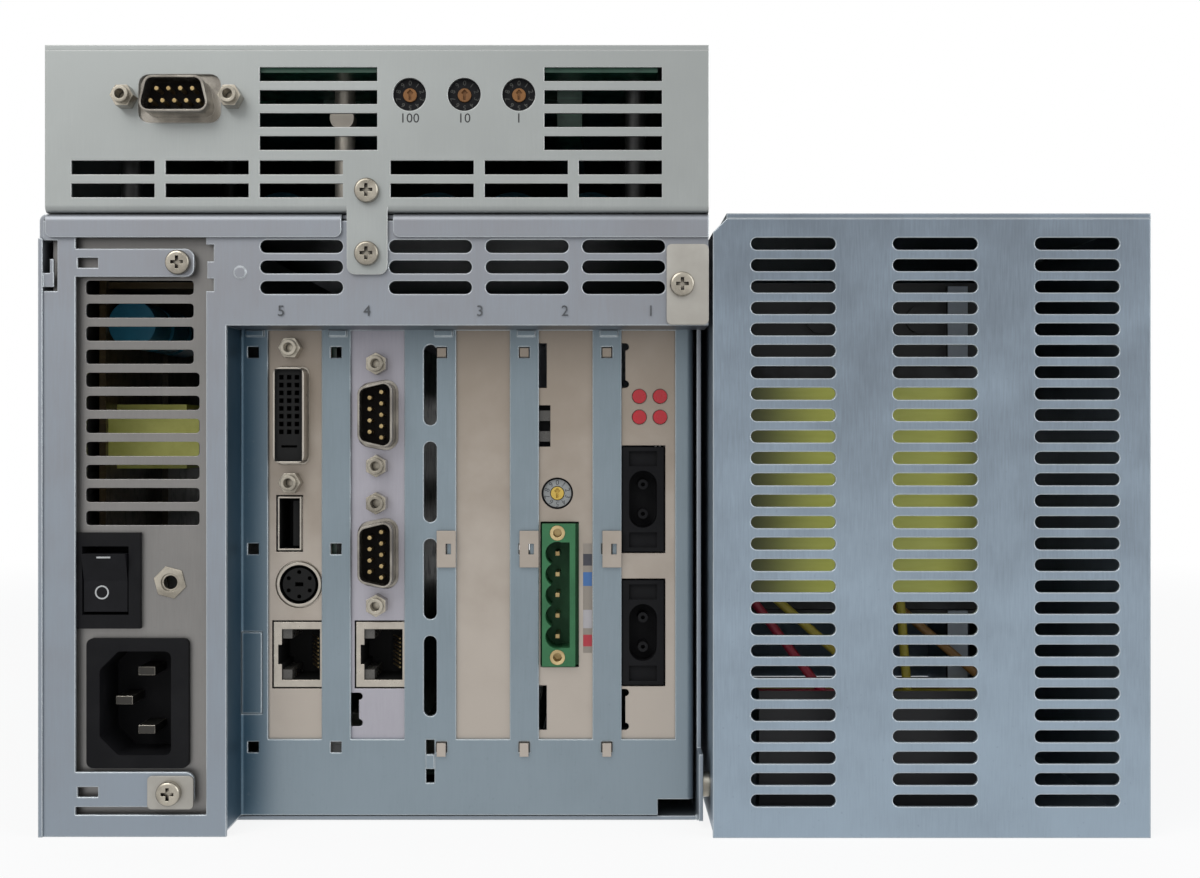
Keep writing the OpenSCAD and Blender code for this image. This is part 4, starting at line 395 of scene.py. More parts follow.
dial_face = moulded("dial_face", (0.3, 0.31, 0.31, 1), (0.2, 0.21, 0.21, 1), 0.4)
print("ten plastics")

# %% [markdown]
# A circuit board is green lacquer over copper tracks. The tracks show as a paler green net, so the
# board gets a brick pattern for the tracks and blots of noise for the copper areas, all under a
# glossy lacquer.

# %% Circuit boards
TRACK_SCALE = 120.0
TRACK_WIDTH = 0.03
TRACK_RELIEF = 0.05 * MM


def lacquered_board(name, lacquer, track):
    """A board: lacquer over a net of tracks, seen from any side."""
    material, shader, place = new_material(name)
    turned = place.node("ShaderNodeMapping", None, Vector=place, Rotation=(0, math.radians(90), 0))
    bricks = place.node("ShaderNodeTexBrick", None, Vector=place.out(turned), Scale=TRACK_SCALE,
                        Mortar_Size=TRACK_WIDTH)
    lines = 1 - place.out(bricks, "Fac")
    blots = noise(place, 260, detail=2).step(0.5, 0.62)
    net = (lines * 0.6 + blots * 0.5).clamp()
    connect(shader, place, Base_Color=net.mix(track, lacquer), Roughness=0.28 + blots * 0.1,
            Normal=bump(place, net, 0.25, TRACK_RELIEF))
    return material


board_green = lacquered_board("green_board", (0.004, 0.03, 0.018, 1), (0.012, 0.06, 0.035, 1))
board_tan = lacquered_board("brown_board", (0.06, 0.04, 0.017, 1), (0.1, 0.07, 0.03, 1))
print("two board finishes, green and brown")

# %% [markdown]
# Some solids hold more than one colour: lamps and light guides, leads and their terminal blocks,
# the winding and the frame of the transformer, and the metal shells of the ports with a plastic
# core. Their finish looks at where a spot lies and picks the colour from that.

# %% Lamps, leads and lined sockets
LEAD_PLANE = -100.6 * MM
NEAR_SPLIT = 66 * MM
FAR_SPLIT = 74 * MM
SOFT_RELIEF = 0.1 * MM
LENS_RELIEF = 0.05 * MM
BARE_DEPTH = 0.9 * MM
# How far in from the winding's ends the painted shade reaches.
SHADE_LEFT = 22 * MM
SHADE_RIGHT = 14 * MM
SHADE_PAST = 2 * MM
STAY_HALF = 4 * MM


def red_lens(name, split_x):
    """Red lenses to the right of split_x, and milky light guides to the left."""
    material, shader, place = new_material(name)
    right = axis_of(place, 0) > split_x
    cloud = noise(place, 700, detail=2)
    red = cloud.mix((0.5, 0.008, 0.02, 1), (0.36, 0.006, 0.015, 1))
    milky = cloud.mix((0.09, 0.085, 0.078, 1), (0.06, 0.057, 0.05, 1))
    connect(shader, place, Base_Color=right.mix(milky, red), Roughness=0.22 + cloud * 0.12,
            Normal=bump(place, cloud, 0.1, LENS_RELIEF), Coat_Weight=0.05)
    return material


def leads(name, block_top):
    """Red and yellow leads in front, yellow and brown ones behind, above dark terminal blocks."""
    material, shader, place = new_material(name)
    x = axis_of(place, 0)
    far = axis_of(place, 1) > LEAD_PLANE
    cloud = noise(place, 300, detail=2)
    near_colour = (x > NEAR_SPLIT).mix((0.3, 0.01, 0.03, 1), (0.42, 0.35, 0.03, 1))
    far_colour = (x > FAR_SPLIT).mix((0.36, 0.29, 0.03, 1), (0.2, 0.1, 0.02, 1))
    colour = far.mix(near_colour, far_colour)
    colour = (axis_of(place, 2) < block_top).mix(colour, (0.02, 0.021, 0.024, 1))
    colour = (cloud * 0.2).mix(colour, (0.05, 0.04, 0.04, 1))
    connect(shader, place, Base_Color=colour, Roughness=0.4 + cloud * 0.1,
            Normal=bump(place, cloud, 0.15, SOFT_RELIEF))
    return material


def winding(name, dark_low, dark_high):
    """Yellow tape round a winding, with painted shade darkening it towards both ends along X."""
    material, shader, place = new_material(name)
    x = axis_of(place, 0)
    # Painted shade: the winding darkens towards both ends.
    left = 1 - x.step(dark_low, dark_low + SHADE_LEFT)
    end_shade = left + x.step(dark_high - SHADE_RIGHT, dark_high)
    turns = noise(place, 700, detail=2, stretch=(0.15, 1, 1))
    colour = turns.mix((0.72, 0.74, 0.14, 1), (0.86, 0.88, 0.24, 1))
    colour = (end_shade.clamp() * 0.92).mix(colour, (0.06, 0.065, 0.025, 1))
    connect(shader, place, Base_Color=colour, Roughness=0.32 + turns * 0.1,
            Normal=bump(place, turns, 0.2, SOFT_RELIEF))
    return material


def standoff_metal(name, bright_x):
    """Dull stand-offs, apart from the brighter stay post at one place along X."""
    material, shader, place = new_material(name)
    bright = abs(axis_of(place, 0) - bright_x) < STAY_HALF
    cloud = noise(place, 200, detail=3)
    colour = bright.mix(cloud.mix((0.05, 0.05, 0.05, 1), (0.025, 0.025, 0.025, 1)),
                        cloud.mix((0.5, 0.46, 0.4, 1), (0.36, 0.33, 0.29, 1)))
    connect(shader, place, Base_Color=colour, Metallic=0.7, Roughness=0.35 + cloud * 0.15)
    return material


def frame_colours(name, strip_low, strip_high):
    """A black-lacquered frame with one bare, bright strip between two places along X."""
    material, shader, place = new_material(name)
    x = axis_of(place, 0)
    bare_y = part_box("transformer_core")[0][1] + BARE_DEPTH
    bare = (x > strip_low) * (x < strip_high) * (axis_of(place, 1) < bare_y)
    cloud = noise(place, 200, detail=3)
    colour = bare.mix(cloud.mix((0.012, 0.013, 0.014, 1), (0.03, 0.03, 0.032, 1)),
                      cloud.mix((0.36, 0.4, 0.45, 1), (0.26, 0.29, 0.33, 1)))
    connect(shader, place, Base_Color=colour, Metallic=bare * 0.7 + 0.1,
            Roughness=0.5 - bare * 0.15 + cloud * 0.1)
    return material


def box_mask(place, centre, width, height):
    """1 inside an upright rectangle round a place, seen from the front, and 0 outside."""
    across = abs(axis_of(place, 0) - centre[0]) < width / 2
    upright = abs(axis_of(place, 2) - centre[1]) < height / 2
    return across * upright


def round_mask(place, centre, radius):
    """1 inside a circle, seen from the front, and 0 outside."""
    across = axis_of(place, 0) - centre[0]
    upright = axis_of(place, 2) - centre[1]
    return (across * across + upright * upright) < radius * radius


def lined_socket(name, inside, behind):
    """A nickel shell that is dark plastic where inside(place) is 1 and Y is past behind."""
    material, shader, place = new_material(name)
    core = inside(place) * (axis_of(place, 1) > behind)
    cloud = noise(place, 500, detail=3)
    metal = cloud.mix((0.52, 0.48, 0.42, 1), (0.34, 0.31, 0.27, 1))
    plastic = cloud.mix((0.003, 0.003, 0.003, 1), (0.008, 0.008, 0.008, 1))
    rounded, _ = edges(place)
    connect(shader, place, Base_Color=core.mix(metal, plastic), Metallic=0.9 - core * 0.9,
            Roughness=0.24 + core * 0.36 + cloud * 0.1, Normal=rounded, Specular_IOR_Level=0.2)
    return material


print("finishes that look at their place, leads split at", round(LEAD_PLANE / MM, 1), "mm")

# %% [markdown]
# Now each solid gets its finish. The sockets' masks are centred on their ports, whose boxes also
# hold a flange, so an offset leads from the box to the middle of the mouth. A table of finish and
# nodes keeps the rest readable, and the cell lists what the table missed.

# %% Dress the solids
LAN_WIDTH = 13.6 * MM
SOCKET_X = 6.7 * MM
SOCKET = (9.5 * MM, 12.6 * MM)
LATCH_X = 1.6 * MM
LATCH = (2 * MM, 4.9 * MM)
USB_X, USB = 2.9 * MM, (5.05 * MM, 12.45 * MM)
PS2_X, PS2_RADIUS = 6.15 * MM, 4.8 * MM
DVI_X, DVI = 4.4 * MM, (6.7 * MM, 22.5 * MM)
LINING_START = 0.3 * MM
STAY_X = -61.4 * MM
STRIP_X = 57.2 * MM
STRIP_WIDTH = 5 * MM
LENS_SPLIT = 5 * MM
BLOCK_TOP = 32 * MM
lan_low, lan_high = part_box("lan_ports")
port_y = lan_low[1]
lan_z = (lan_low[2] + lan_high[2]) / 2
lan_starts = (lan_low[0], lan_high[0] - LAN_WIDTH)


def lan_inside(place):
    """The two network sockets with their latch notches."""
    masks = [box_mask(place, (x + SOCKET_X, lan_z), *SOCKET)
             + box_mask(place, (x + LATCH_X, lan_z), *LATCH) for x in lan_starts]
    return (masks[0] + masks[1]).clamp()


def mouth(node, offset):
    """The X and Z of a port's mouth, from its left side."""
    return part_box(node)[0][0] + offset, middle(node).z


usb_mouth = mouth("usb_port", USB_X)
ps2_mouth = mouth("ps2_port", PS2_X)
dvi_mouth = mouth("dvi_port", DVI_X)
lan_finish = lined_socket("network_socket", lan_inside, port_y + LINING_START)
usb_finish = lined_socket("small_socket", lambda place: box_mask(place, usb_mouth, *USB),
                          port_y + LINING_START)
ps2_finish = lined_socket("round_socket", lambda place: round_mask(place, ps2_mouth, PS2_RADIUS),
                          front_y)
dvi_finish = lined_socket("monitor_socket", lambda place: box_mask(place, dvi_mouth, *DVI), front_y)
strip_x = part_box("transformer_core")[0][0] + STRIP_X
coil_low, coil_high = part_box("transformer_coil")
FINISHES = [
    (zinc, "front_panel base_tray left_cover top_cover rear_panel"),
    (side_zinc, "side_front side_chassis side_cover"),
    (bay_zinc, "slot_panel"),
    (backup_grey, "backup_chassis backup_cover"),
    (supply_grey, "psu_case"),
    (lavender, "serial_bracket"),
    (bracket_nickel, "card_brackets ground_clips"),
    (plate_nickel, "clamp_plate hinge_bracket"),
    (nickel, "panel_screws jackscrews clamp_nut unit_studs"),
    (shell_nickel, "dsub_shells"),
    (standoff_metal("standoff_metal", STAY_X), "board_standoffs"),
    (pin_shade_and_glint, "inlet_pins"),
    (gold, "contact_pins"),
    (black, "dial_housings psu_inlet switch_housing optical_ports main_fan_frame side_fan_frame"),
    (rocker_black, "switch_rocker main_fan_rotor side_fan_rotor"),
    (insert_brown, "dsub_inserts"),
    (terminal_green, "terminal_header"),
    (rotor_orange, "dial_hundreds dial_tens dial_ones"),
    (rotor_yellow, "dial_board_id"),
    (board_green, "backup_board backplane system_board serial_board fieldbus_board optical_board"),
    (board_tan, "psu_board"),
    (yellow_tape, "psu_transformer"),
    (winding("winding_tape", coil_low[0], coil_high[0] + SHADE_PAST), "transformer_coil"),
    (cell_blue, "backup_battery psu_capacitors"),
    (laminations, "transformer_core"),
    (frame_colours("transformer_frame", strip_x, strip_x + STRIP_WIDTH), "transformer_bracket"),
    (ivory, "card_sockets"),
    (red_lens("red_lamp", LENS_SPLIT), "status_leds"),
    (leads("wire_sleeve", BLOCK_TOP), "wire_loom"),
    (lan_finish, "lan_ports"),
    (usb_finish, "usb_port"),
    (ps2_finish, "ps2_port"),
    (dvi_finish, "dvi_port"),
]
dressed = set()
for finish, names in FINISHES:
    for name in names.split():
        nodes[name].data.materials.clear()
        nodes[name].data.materials.append(finish)
        dressed.add(name)
print("not dressed:", sorted(set(nodes) - dressed))

# %% [markdown]
# From here on small pieces are modelled as by hand: a primitive is added, shaped in edit mode, and
# its place is applied to the mesh. `only` selects a single object, because an operator acts on all
# that is selected. `keep` bakes the place into the mesh, names the piece, and says which body it
# rides on and which material slot it belongs to.

# %% Helpers for pieces
FACING = 0.9  # a face looks along an axis when its normal has at least this much of it


def only(obj):
    """Selects one object and nothing else."""
    if bpy.context.object and bpy.context.object.mode != "OBJECT":
        bpy.ops.object.mode_set(mode="OBJECT")
    bpy.ops.object.select_all(action="DESELECT")
    obj.select_set(True)
    bpy.context.view_layer.objects.active = obj


def keep(obj, name, finish, body="case"):
    """Makes a finished piece of an object: place applied, named, dressed and riding."""
    only(obj)
    bpy.ops.object.transform_apply(location=True, rotation=True, scale=True)
    obj.name = name
    obj.data.materials.clear()
    obj.data.materials.append(finish)
    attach(obj, body)
    return obj


def join(parts):
    """Joins several meshes into the first one."""
    only(parts[0])
    for part in parts[1:]:
        part.select_set(True)
    bpy.ops.object.join()
    return bpy.context.object


def select_faces(obj, test):
    """Goes into edit mode with only the faces selected for whose normal the test is true."""
    only(obj)
    bpy.ops.object.mode_set(mode="EDIT")
    bpy.ops.mesh.select_mode(type="FACE")
    bpy.ops.mesh.select_all(action="DESELECT")
    mesh = bmesh.from_edit_mesh(obj.data)
    for face in mesh.faces:
        face.select_set(test(face.normal))
    mesh.select_flush_mode()
    bmesh.update_edit_mesh(obj.data)


def block(low, high, bevel):
    """A box between two corners with its edges bevelled in edit mode."""
    low, high = Vector(low), Vector(high)
    bpy.ops.object.select_all(action="DESELECT")
    bpy.ops.mesh.primitive_cube_add(size=1, location=(low + high) / 2, scale=high - low)
    made = bpy.context.object
    bpy.ops.object.transform_apply(location=True, rotation=True, scale=True)
    bpy.ops.object.mode_set(mode="EDIT")
    bpy.ops.mesh.select_all(action="SELECT")
    bpy.ops.mesh.bevel(offset=bevel, segments=2, affect="EDGES")
    bpy.ops.object.mode_set(mode="OBJECT")
    return made


print("helpers for pieces are ready")

# %% [markdown]
# The slot numbers are printed on the strip above the card bay. Each character is a text object made
# solid and turned into a mesh: its skins are welded and its faces turned outwards before the place
# is applied, and it lies half sunk in the sheet, a few hundredths of a millimetre proud.

# %% Characters
INK = 0.04 * MM
WELD = 0.001 * MM
CAP_HEIGHT = 0.7  # the height of a figure in a text of size 1


def character(text, height, place, turn=0.0):
    """A character of some height at a place on an upright face, turned clockwise."""
    bpy.ops.object.select_all(action="DESELECT")
    bpy.ops.object.text_add()
    made = bpy.context.object
    made.data.body = text
    made.data.size = height / CAP_HEIGHT
    made.data.extrude = INK / 2
    made.data.resolution_u = 3
    made.data.align_x = "CENTER"
    made.data.align_y = "CENTER"
    bpy.ops.object.convert(target="MESH")
    made = bpy.context.object
    bpy.ops.object.mode_set(mode="EDIT")
    bpy.ops.mesh.select_all(action="SELECT")
    bpy.ops.mesh.remove_doubles(threshold=WELD)
    bpy.ops.mesh.normals_make_consistent(inside=False)
    bpy.ops.object.mode_set(mode="OBJECT")
    made.rotation_euler = (math.radians(90), turn, 0)
    made.location = place
    only(made)
    bpy.ops.object.transform_apply(location=True, rotation=True, scale=True)
    return made


def printed(name, signs, finish):
    """One piece made of several characters."""
    made = keep(join(signs), name, finish)
    print(name, len(made.data.polygons), "faces")


ink = moulded("dark_ink", (0.06, 0.064, 0.07, 1), (0.1, 0.105, 0.11, 1), 0.5)
pale_ink = moulded("pale_ink", (0.11, 0.11, 0.1, 1), (0.06, 0.06, 0.055, 1), 0.5)
black_ink = moulded("black_ink", (0.015, 0.015, 0.016, 1), (0.03, 0.03, 0.032, 1), 0.5)
white_ink = moulded("white_ink", (0.5, 0.51, 0.51, 1), (0.36, 0.37, 0.37, 1), 0.5)
SLOT_SIGNS = [("5", -73.8), ("4", -53.5), ("3", -26.9), ("2", -6.85), ("1", 13.4)]
SIGN_HEIGHT = 2.5 * MM
SIGN_Z = 124 * MM
slot_signs = [character(sign, SIGN_HEIGHT, (x * MM, face_y, SIGN_Z)) for sign, x in SLOT_SIGNS]
printed("slot_numbers", slot_signs, ink)

# %% [markdown]
# Three rotary switches set a number of seconds, and each carries its value below: 100, 10 and 1.
# Every switch has the digits 0 to 9 in a ring. Each digit is turned about the switch's axis, so
# that all of them stand outwards.

# %% Values and digits of the rotary switches
DIAL_NODES = ["dial_hundreds", "dial_tens", "dial_ones"]
DIAL_VALUES = ["100", "10", "1"]
VALUE_DROP = 5.7 * MM
VALUE_HEIGHT = 2.2 * MM
DIGIT_RING = 2.85 * MM
DIGIT_HEIGHT = 1.15 * MM
DIGIT_STEP = 36
dial_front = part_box("dial_housings")[0][1]
cover_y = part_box("backup_cover")[0][1]
value_signs = []
for node, value in zip(DIAL_NODES, DIAL_VALUES):
    centre = middle(node)
    spot = (centre.x, cover_y, centre.z - VALUE_DROP)
    value_signs.append(character(value, VALUE_HEIGHT, spot))
printed("dial_values", value_signs, black_ink)


def ring_of_digits(name, centre, face, radius, height, finish):
    """The digits 0 to 9 round a centre, clockwise from the top."""
    signs = []
    for digit in range(10):
        turn = math.radians(DIGIT_STEP * digit)
        spot = (centre.x + radius * math.sin(turn), face, centre.z + radius * math.cos(turn))
        signs.append(character(str(digit), height, spot, turn=turn))
    printed(name, signs, finish)


for node in DIAL_NODES:
    ring_of_digits(node.replace("dial", "digits"), middle(node), dial_front, DIGIT_RING,
                   DIGIT_HEIGHT, pale_ink)

# %% [markdown]
# The fourth rotary switch, in slot 2, has a pale ring for its digits. A flat ring starts as a disc
# that is inset and whose middle is deleted, and an extrusion gives it its thickness. The same
# helper makes the 0 of the power switch, further down.

# %% The pale ring of the board's own switch
RING_SIDES = 48


def flat_ring(outer, inner, thick, place):
    """A flat ring that faces the front, its front face at a place."""
    bpy.ops.object.select_all(action="DESELECT")
    bpy.ops.mesh.primitive_circle_add(vertices=RING_SIDES, radius=outer, fill_type="NGON")
    made = bpy.context.object
    bpy.ops.object.mode_set(mode="EDIT")
    bpy.ops.mesh.select_all(action="SELECT")
    bpy.ops.mesh.inset(thickness=outer - inner)
    bpy.ops.mesh.delete(type="FACE")
    bpy.ops.mesh.select_all(action="SELECT")
    bpy.ops.mesh.extrude_region_move(TRANSFORM_OT_translate={"value": (0, 0, -thick)})
    bpy.ops.mesh.select_all(action="SELECT")
    bpy.ops.mesh.normals_make_consistent(inside=False)
    bpy.ops.object.mode_set(mode="OBJECT")
    made.rotation_euler = (math.radians(90), 0, 0)
    made.location = place
    return made


DIAL_PROUD = 0.4 * MM
RING_PROUD = 0.1 * MM
RING_THICK = 0.14 * MM
RING_OUTER, RING_INNER = 3.45 * MM, 1.75 * MM
BOARD_DIGIT_RING = 2.6 * MM
BOARD_DIGIT_HEIGHT = 1.25 * MM
board_dial = middle("dial_board_id")
board_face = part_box("dial_board_id")[0][1] + DIAL_PROUD
ring_y = board_face - RING_PROUD
ring = flat_ring(RING_OUTER, RING_INNER, RING_THICK, (board_dial.x, ring_y, board_dial.z))
keep(ring, "board_dial_ring", dial_face)
ring_of_digits("digits_board_id", board_dial, ring_y, BOARD_DIGIT_RING, BOARD_DIGIT_HEIGHT, ink)

# %% [markdown]
# The power switch has a bar for on and a ring for off, printed white on its rocker. They ride on
# the rocker, so they swing with it. The upper half of its face leans, so the bar leans too.

# %% Marks on the power switch
ROCKER_LEAN = math.radians(16.83)
FLAT_DEPTH = 1.94 * MM
PIVOT_DROP = 6.42 * MM
BAR_X, BAR_RISE = -115.7 * MM, 5.6 * MM
BAR_HALF = Vector((1.65 * MM, INK / 2, 0.22 * MM))
BAR_BEVEL = 0.01 * MM
OFF_X, OFF_DROP = -116.6 * MM, 2.8 * MM
OFF_OUTER, OFF_INNER = 1.65 * MM, 1.3 * MM
rocker_low, rocker_high = (Vector(corner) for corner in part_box("switch_rocker"))
flat_y = rocker_low.y + FLAT_DEPTH
pivot_z = rocker_high.z - PIVOT_DROP
bar = block(-BAR_HALF, BAR_HALF, BAR_BEVEL)
bar.rotation_euler = (ROCKER_LEAN, 0, 0)
bar.location = (BAR_X, flat_y - BAR_RISE * math.tan(ROCKER_LEAN), pivot_z + BAR_RISE)
keep(bar, "switch_on_mark", white_ink, body="rocker")
off_place = (OFF_X, flat_y - INK / 2, pivot_z - OFF_DROP)
off_mark = flat_ring(OFF_OUTER, OFF_INNER, INK, off_place)
keep(off_mark, "switch_off_mark", white_ink, body="rocker")
print("rocker face at", round(flat_y / MM, 2), "mm, pivot at", round(pivot_z / MM, 2), "mm")

# %% [markdown]
# The terminal's two flanges hold brass inserts for the screws of its plug. An insert starts as a
# cylinder. Its front face is inset to leave a rim, and the middle is pushed back to make the bore.

# %% Brass inserts of the terminal
INSERT_RADIUS = 1.86 * MM
INSERT_BORE = 1.05 * MM
INSERT_DEPTH = 5 * MM
INSERT_X = 3.8 * MM
INSERT_RISE = 15.24 * MM
INSERT_SUNK = 0.05 * MM
BORE_FLOOR = 0.5 * MM
TUBE_SIDES = 40
terminal_low, terminal_high = (Vector(corner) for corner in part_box("terminal_header"))
terminal_z = (terminal_low.z + terminal_high.z) / 2


def tube(radius, bore, depth, place):
    """A bored cylinder that faces the front, its front face at a place."""
    bpy.ops.object.select_all(action="DESELECT")
    bpy.ops.mesh.primitive_cylinder_add(vertices=TUBE_SIDES, radius=radius, depth=depth,
                                        rotation=(math.radians(90), 0, 0))
    made = bpy.context.object
    bpy.ops.object.transform_apply(location=True, rotation=True, scale=True)
    select_faces(made, lambda normal: normal.y < -FACING)
    bpy.ops.mesh.inset(thickness=radius - bore)
    bpy.ops.mesh.extrude_region_move(TRANSFORM_OT_translate={"value": (0, depth - BORE_FLOOR, 0)})
    bpy.ops.object.mode_set(mode="OBJECT")
    made.location = (place[0], place[1] + depth / 2, place[2])
    return made


inserts = []
insert_x = terminal_low.x + INSERT_X
for side in (-1, 1):
    spot = (insert_x, terminal_low.y + INSERT_SUNK, terminal_z + side * INSERT_RISE)
    inserts.append(tube(INSERT_RADIUS, INSERT_BORE, INSERT_DEPTH, spot))
    only(inserts[-1])
    bpy.ops.object.transform_apply(location=True, rotation=True, scale=True)
keep(join(inserts), "terminal_inserts", brass)
print("inserts at x", round(insert_x / MM, 2), "mm")

# %% [markdown]
# Behind the terminal and behind the two light guides above it sit black moulded bodies, soldered to
# the board. They close the view through the gaps of the bracket. Each is a block with bevelled
# edges, and a step pushed into its rear face.

# %% Bodies behind the terminal and the light guides
BOARD_THICK = 1.6 * MM
BOARD_GAP = 0.3 * MM
BASE_MARGIN = 1.5 * MM
BASE_LEFT = 2 * MM
BASE_GAP, BASE_BACK = 0.05 * MM, 3.2 * MM
BASE_BEVEL, BASE_WALL = 0.3 * MM, 0.8 * MM
HOLDER_LEFT = -14.6 * MM
HOLDER_LOW_Z, HOLDER_HIGH_Z = 90.8 * MM, 103.4 * MM
HOLDER_ROOM, HOLDER_DEPTH = 1.8 * MM, 1.4 * MM
HOLDER_BEVEL, HOLDER_WALL, HOLDER_STEP = 0.25 * MM, 0.6 * MM, 0.4 * MM


def stepped_body(low, high, bevel, wall, step):
    """A bevelled block with a step pushed into its rear face, inside a wall."""
    made = block(low, high, bevel)
    select_faces(made, lambda normal: normal.y > FACING)
    bpy.ops.mesh.inset(thickness=wall)
    bpy.ops.mesh.extrude_region_move(TRANSFORM_OT_translate={"value": (0, -step, 0)})
    bpy.ops.object.mode_set(mode="OBJECT")
    return made


body_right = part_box("fieldbus_board")[1][0] - BOARD_THICK - BOARD_GAP
base_low = (terminal_low.x - BASE_LEFT, terminal_high.y + BASE_GAP, terminal_low.z - BASE_MARGIN)
base_high = (body_right, terminal_high.y + BASE_BACK, terminal_high.z + BASE_MARGIN)
base = stepped_body(base_low, base_high, BASE_BEVEL, BASE_WALL, BASE_WALL)
keep(base, "terminal_base", black)
holder_y = board_face + HOLDER_ROOM
holder = stepped_body((HOLDER_LEFT, holder_y, HOLDER_LOW_Z),
                      (body_right, holder_y + HOLDER_DEPTH, HOLDER_HIGH_Z),
                      HOLDER_BEVEL, HOLDER_WALL, HOLDER_STEP)
keep(holder, "lamp_holder", black)
print("terminal base from", [round(c / MM, 1) for c in base_low])

# %% [markdown]
# A network socket holds eight gilt wires on the wall across from its latch. One wire is modelled
# and an Array modifier repeats it at the usual pitch of 1.02 mm. The small flat socket has four
# gilt strips on its tongue, made in the same way.

# %% Contacts of the network and data sockets
WIRES, WIRE_PITCH = 8, 1.02 * MM
WIRE_HALF = Vector((0.2 * MM, 4 * MM, 0.2 * MM))
WIRE_BEVEL = 0.05 * MM
WIRE_SLANT = math.radians(20)
WIRE_X, WIRE_DEPTH = 9.2 * MM, 6.5 * MM
STRIPS, STRIP_PITCH = 4, 2.5 * MM
TONGUE_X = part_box("usb_port")[0][0] + 3.6 * MM
CONTACT_LOW = (TONGUE_X - 0.1 * MM, port_y + 2 * MM, -0.55 * MM)
CONTACT_HIGH = (TONGUE_X + 0.05 * MM, port_y + 9 * MM, 0.55 * MM)
CONTACT_BEVEL = 0.03 * MM


def repeated(obj, count, step):
    """Copies a mesh along Z with an Array modifier that is applied."""
    only(obj)
    array = obj.modifiers.new("row", "ARRAY")
    array.count = count
    array.use_relative_offset = False
    array.use_constant_offset = True
    array.constant_offset_displace = (0, 0, step)
    bpy.ops.object.modifier_apply(modifier="row")
    return obj


for number, start in zip((5, 4), lan_starts):
    wire = block(-WIRE_HALF, WIRE_HALF, WIRE_BEVEL)
    wire.rotation_euler = (0, 0, WIRE_SLANT)
    wire.location = (start + WIRE_X, port_y + WIRE_DEPTH, lan_z - (WIRES - 1) / 2 * WIRE_PITCH)
    bpy.ops.object.transform_apply(location=True, rotation=True, scale=True)
    keep(repeated(wire, WIRES, WIRE_PITCH), f"network_contacts_{number}", gold)
strip = block(CONTACT_LOW, CONTACT_HIGH, CONTACT_BEVEL)
strip.location.z = usb_mouth[1] - (STRIPS - 1) / 2 * STRIP_PITCH
bpy.ops.object.transform_apply(location=True, rotation=True, scale=True)
keep(repeated(strip, STRIPS, STRIP_PITCH), "data_contacts", gold)
print(WIRES, "wires in each network socket,", STRIPS, "strips on the tongue")

# %% [markdown]
# Beside the terminal runs a strip of colour fields that tells which wire goes where. It is a thin
# block with bevelled edges, and its finish changes colour with height.

# %% Colour strip beside the terminal
STRIP_LOW = (-2.75 * MM, port_y - 0.05 * MM, 41.2 * MM)
STRIP_HIGH = (-0.55 * MM, port_y + 0.05 * MM, 68.2 * MM)
STRIP_BEVEL = 0.02 * MM
STRIP_DUST = (0.2, 0.19, 0.18, 1)
STRIP_RELIEF = 0.03 * MM
BANDS = [(42.8, 45.7, (0.42, 0.012, 0.03, 1)), (47.3, 51.8, (0.42, 0.4, 0.42, 1)),
         (57.7, 61.1, (0.03, 0.13, 0.36, 1)), (62.7, 65.6, (0.018, 0.02, 0.035, 1))]


def banded(name, ground, bands):
    """Colour fields that change with height, over a ground colour."""
    material, shader, place = new_material(name)
    height = axis_of(place, 2)
    cloud = noise(place, 400, detail=2)
    colour = ground
    for low, high, tint in bands:
        colour = ((height > low * MM) * (height < high * MM)).mix(colour, tint)
    colour = (cloud * 0.2).mix(colour, STRIP_DUST)
    connect(shader, place, Base_Color=colour, Roughness=0.4 + cloud * 0.1,
            Normal=bump(place, cloud, 0.1, STRIP_RELIEF))
    return material


strip_finish = banded("colour_code", (0.27, 0.235, 0.2, 1), BANDS)
keep(block(STRIP_LOW, STRIP_HIGH, STRIP_BEVEL), "colour_strip", strip_finish)
print(len(BANDS), "colour fields")

# %% [markdown]
# The room is a pale floor and plain soft light: one large lamp above and in front, a weaker one
# from the right, and a bright world. Floor and world show white to the camera and in mirrors, but
# light the object more gently than that, which is what the Light Path node is for. Near the object
# the floor keeps more of its own shading, so that a soft shadow shows.

# %% Floor, lamps and world
FLOOR_SIZE = 6
FLOOR_COLOUR = (0.86, 0.86, 0.86, 1)
FLOOR_GLOW = 0.87
WORLD_COLOUR = (0.93, 0.96, 1.0, 1)
WORLD_STRENGTH = 0.5
WHITE = (1, 1, 1, 1)
LAMP_TARGET = Vector((0, -0.1, 0.09))

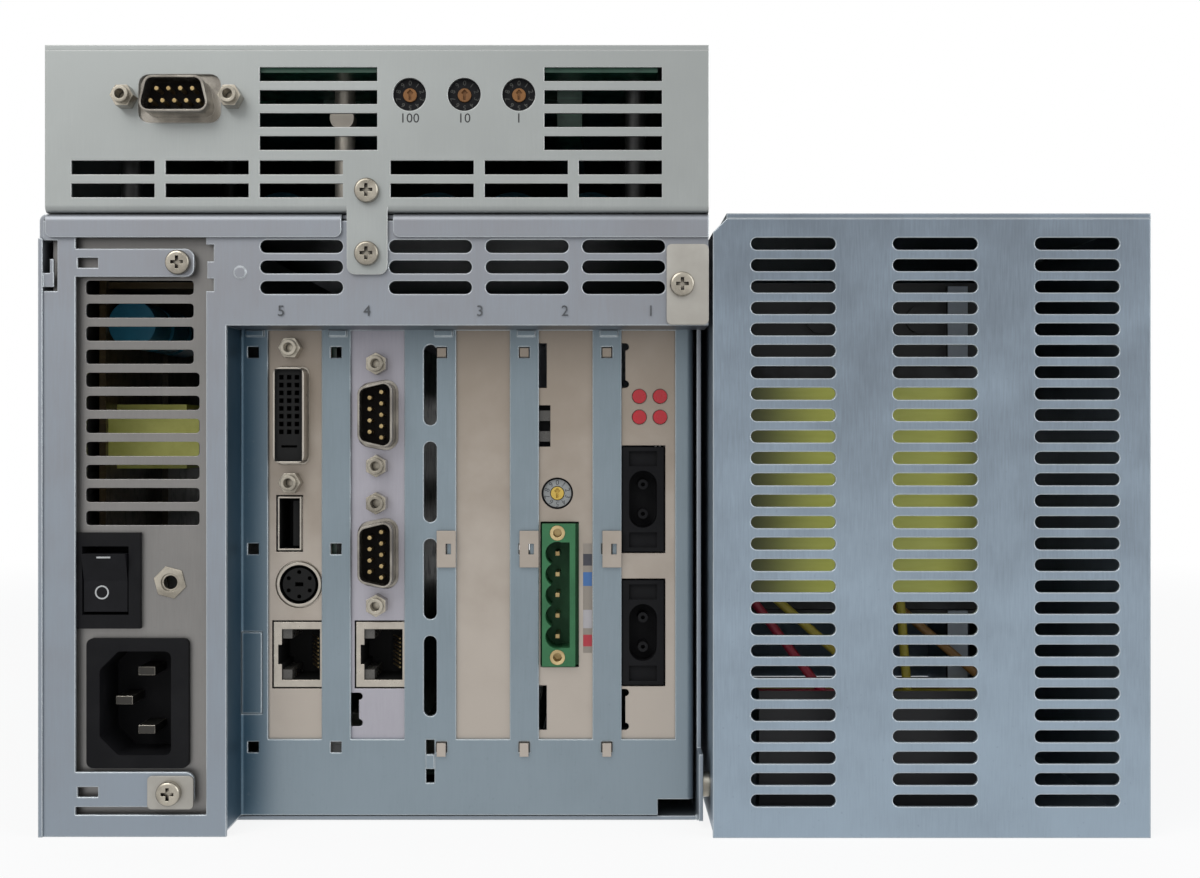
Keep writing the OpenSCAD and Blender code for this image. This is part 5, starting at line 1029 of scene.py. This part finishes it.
bpy.ops.mesh.primitive_plane_add(size=FLOOR_SIZE, location=(0, 0, floor_z))
floor = bpy.context.object
floor.name = "floor"
floor_material = bpy.data.materials.new("floor")
floor_material.use_nodes = True
floor.data.materials.append(floor_material)
tree = floor_material.node_tree
shader = tree.nodes["Principled BSDF"]
shader.inputs["Base Color"].default_value = FLOOR_COLOUR
shader.inputs["Roughness"].default_value = 0.85
ground = Sock(tree, shader.outputs[0])
path = ground.node("ShaderNodeLightPath")
glow = ground.node("ShaderNodeEmission", None, Color=WHITE, Strength=1.0)
spot = ground.out(ground.node("ShaderNodeTexCoord"), "Object")
away = axis_of(spot, 0) * axis_of(spot, 0) + axis_of(spot, 1) * axis_of(spot, 1)
fade = FLOOR_GLOW + away.step(0.12, 0.7) * (1 - FLOOR_GLOW)
seen = (ground.out(path, "Is Camera Ray") + ground.out(path, "Is Glossy Ray")).clamp() * fade
both = ground.node("ShaderNodeMixShader", None, i0=seen, i1=ground, i2=ground.out(glow))
tree.links.new(both.outputs[0], tree.nodes["Material Output"].inputs["Surface"])

world = bpy.data.worlds.new("studio")
bpy.context.scene.world = world
world.use_nodes = True
tree = world.node_tree
soft = tree.nodes["Background"]
soft.inputs["Color"].default_value = WORLD_COLOUR
soft.inputs["Strength"].default_value = WORLD_STRENGTH
sky = Sock(tree, soft.outputs[0])
path = sky.node("ShaderNodeLightPath")
white = sky.node("ShaderNodeBackground", None, Color=WHITE, Strength=1.0)
rays = [sky.out(path, f"Is {kind} Ray") for kind in ("Camera", "Glossy", "Transmission")]
seen = rays[0] + rays[1] + rays[2]
both = sky.node("ShaderNodeMixShader", None, i0=seen.clamp(), i1=sky, i2=sky.out(white))
tree.links.new(both.outputs[0], tree.nodes["World Output"].inputs["Surface"])


def soft_lamp(name, place, size, energy, colour):
    """A square soft lamp at a place, turned to the object."""
    data = bpy.data.lights.new(name, "AREA")
    data.size = size
    data.energy = energy
    data.color = colour
    lamp = bpy.data.objects.new(name, data)
    lamp.location = place
    lamp.rotation_euler = (LAMP_TARGET - Vector(place)).to_track_quat("-Z", "Y").to_euler()
    bpy.context.scene.collection.objects.link(lamp)


soft_lamp("key", (-0.55, -0.9, 0.95), 0.9, 9, (1, 0.99, 0.97))
soft_lamp("fill", (0.9, -0.6, 0.5), 0.8, 4, (0.95, 0.98, 1))
print("two lamps and a world")
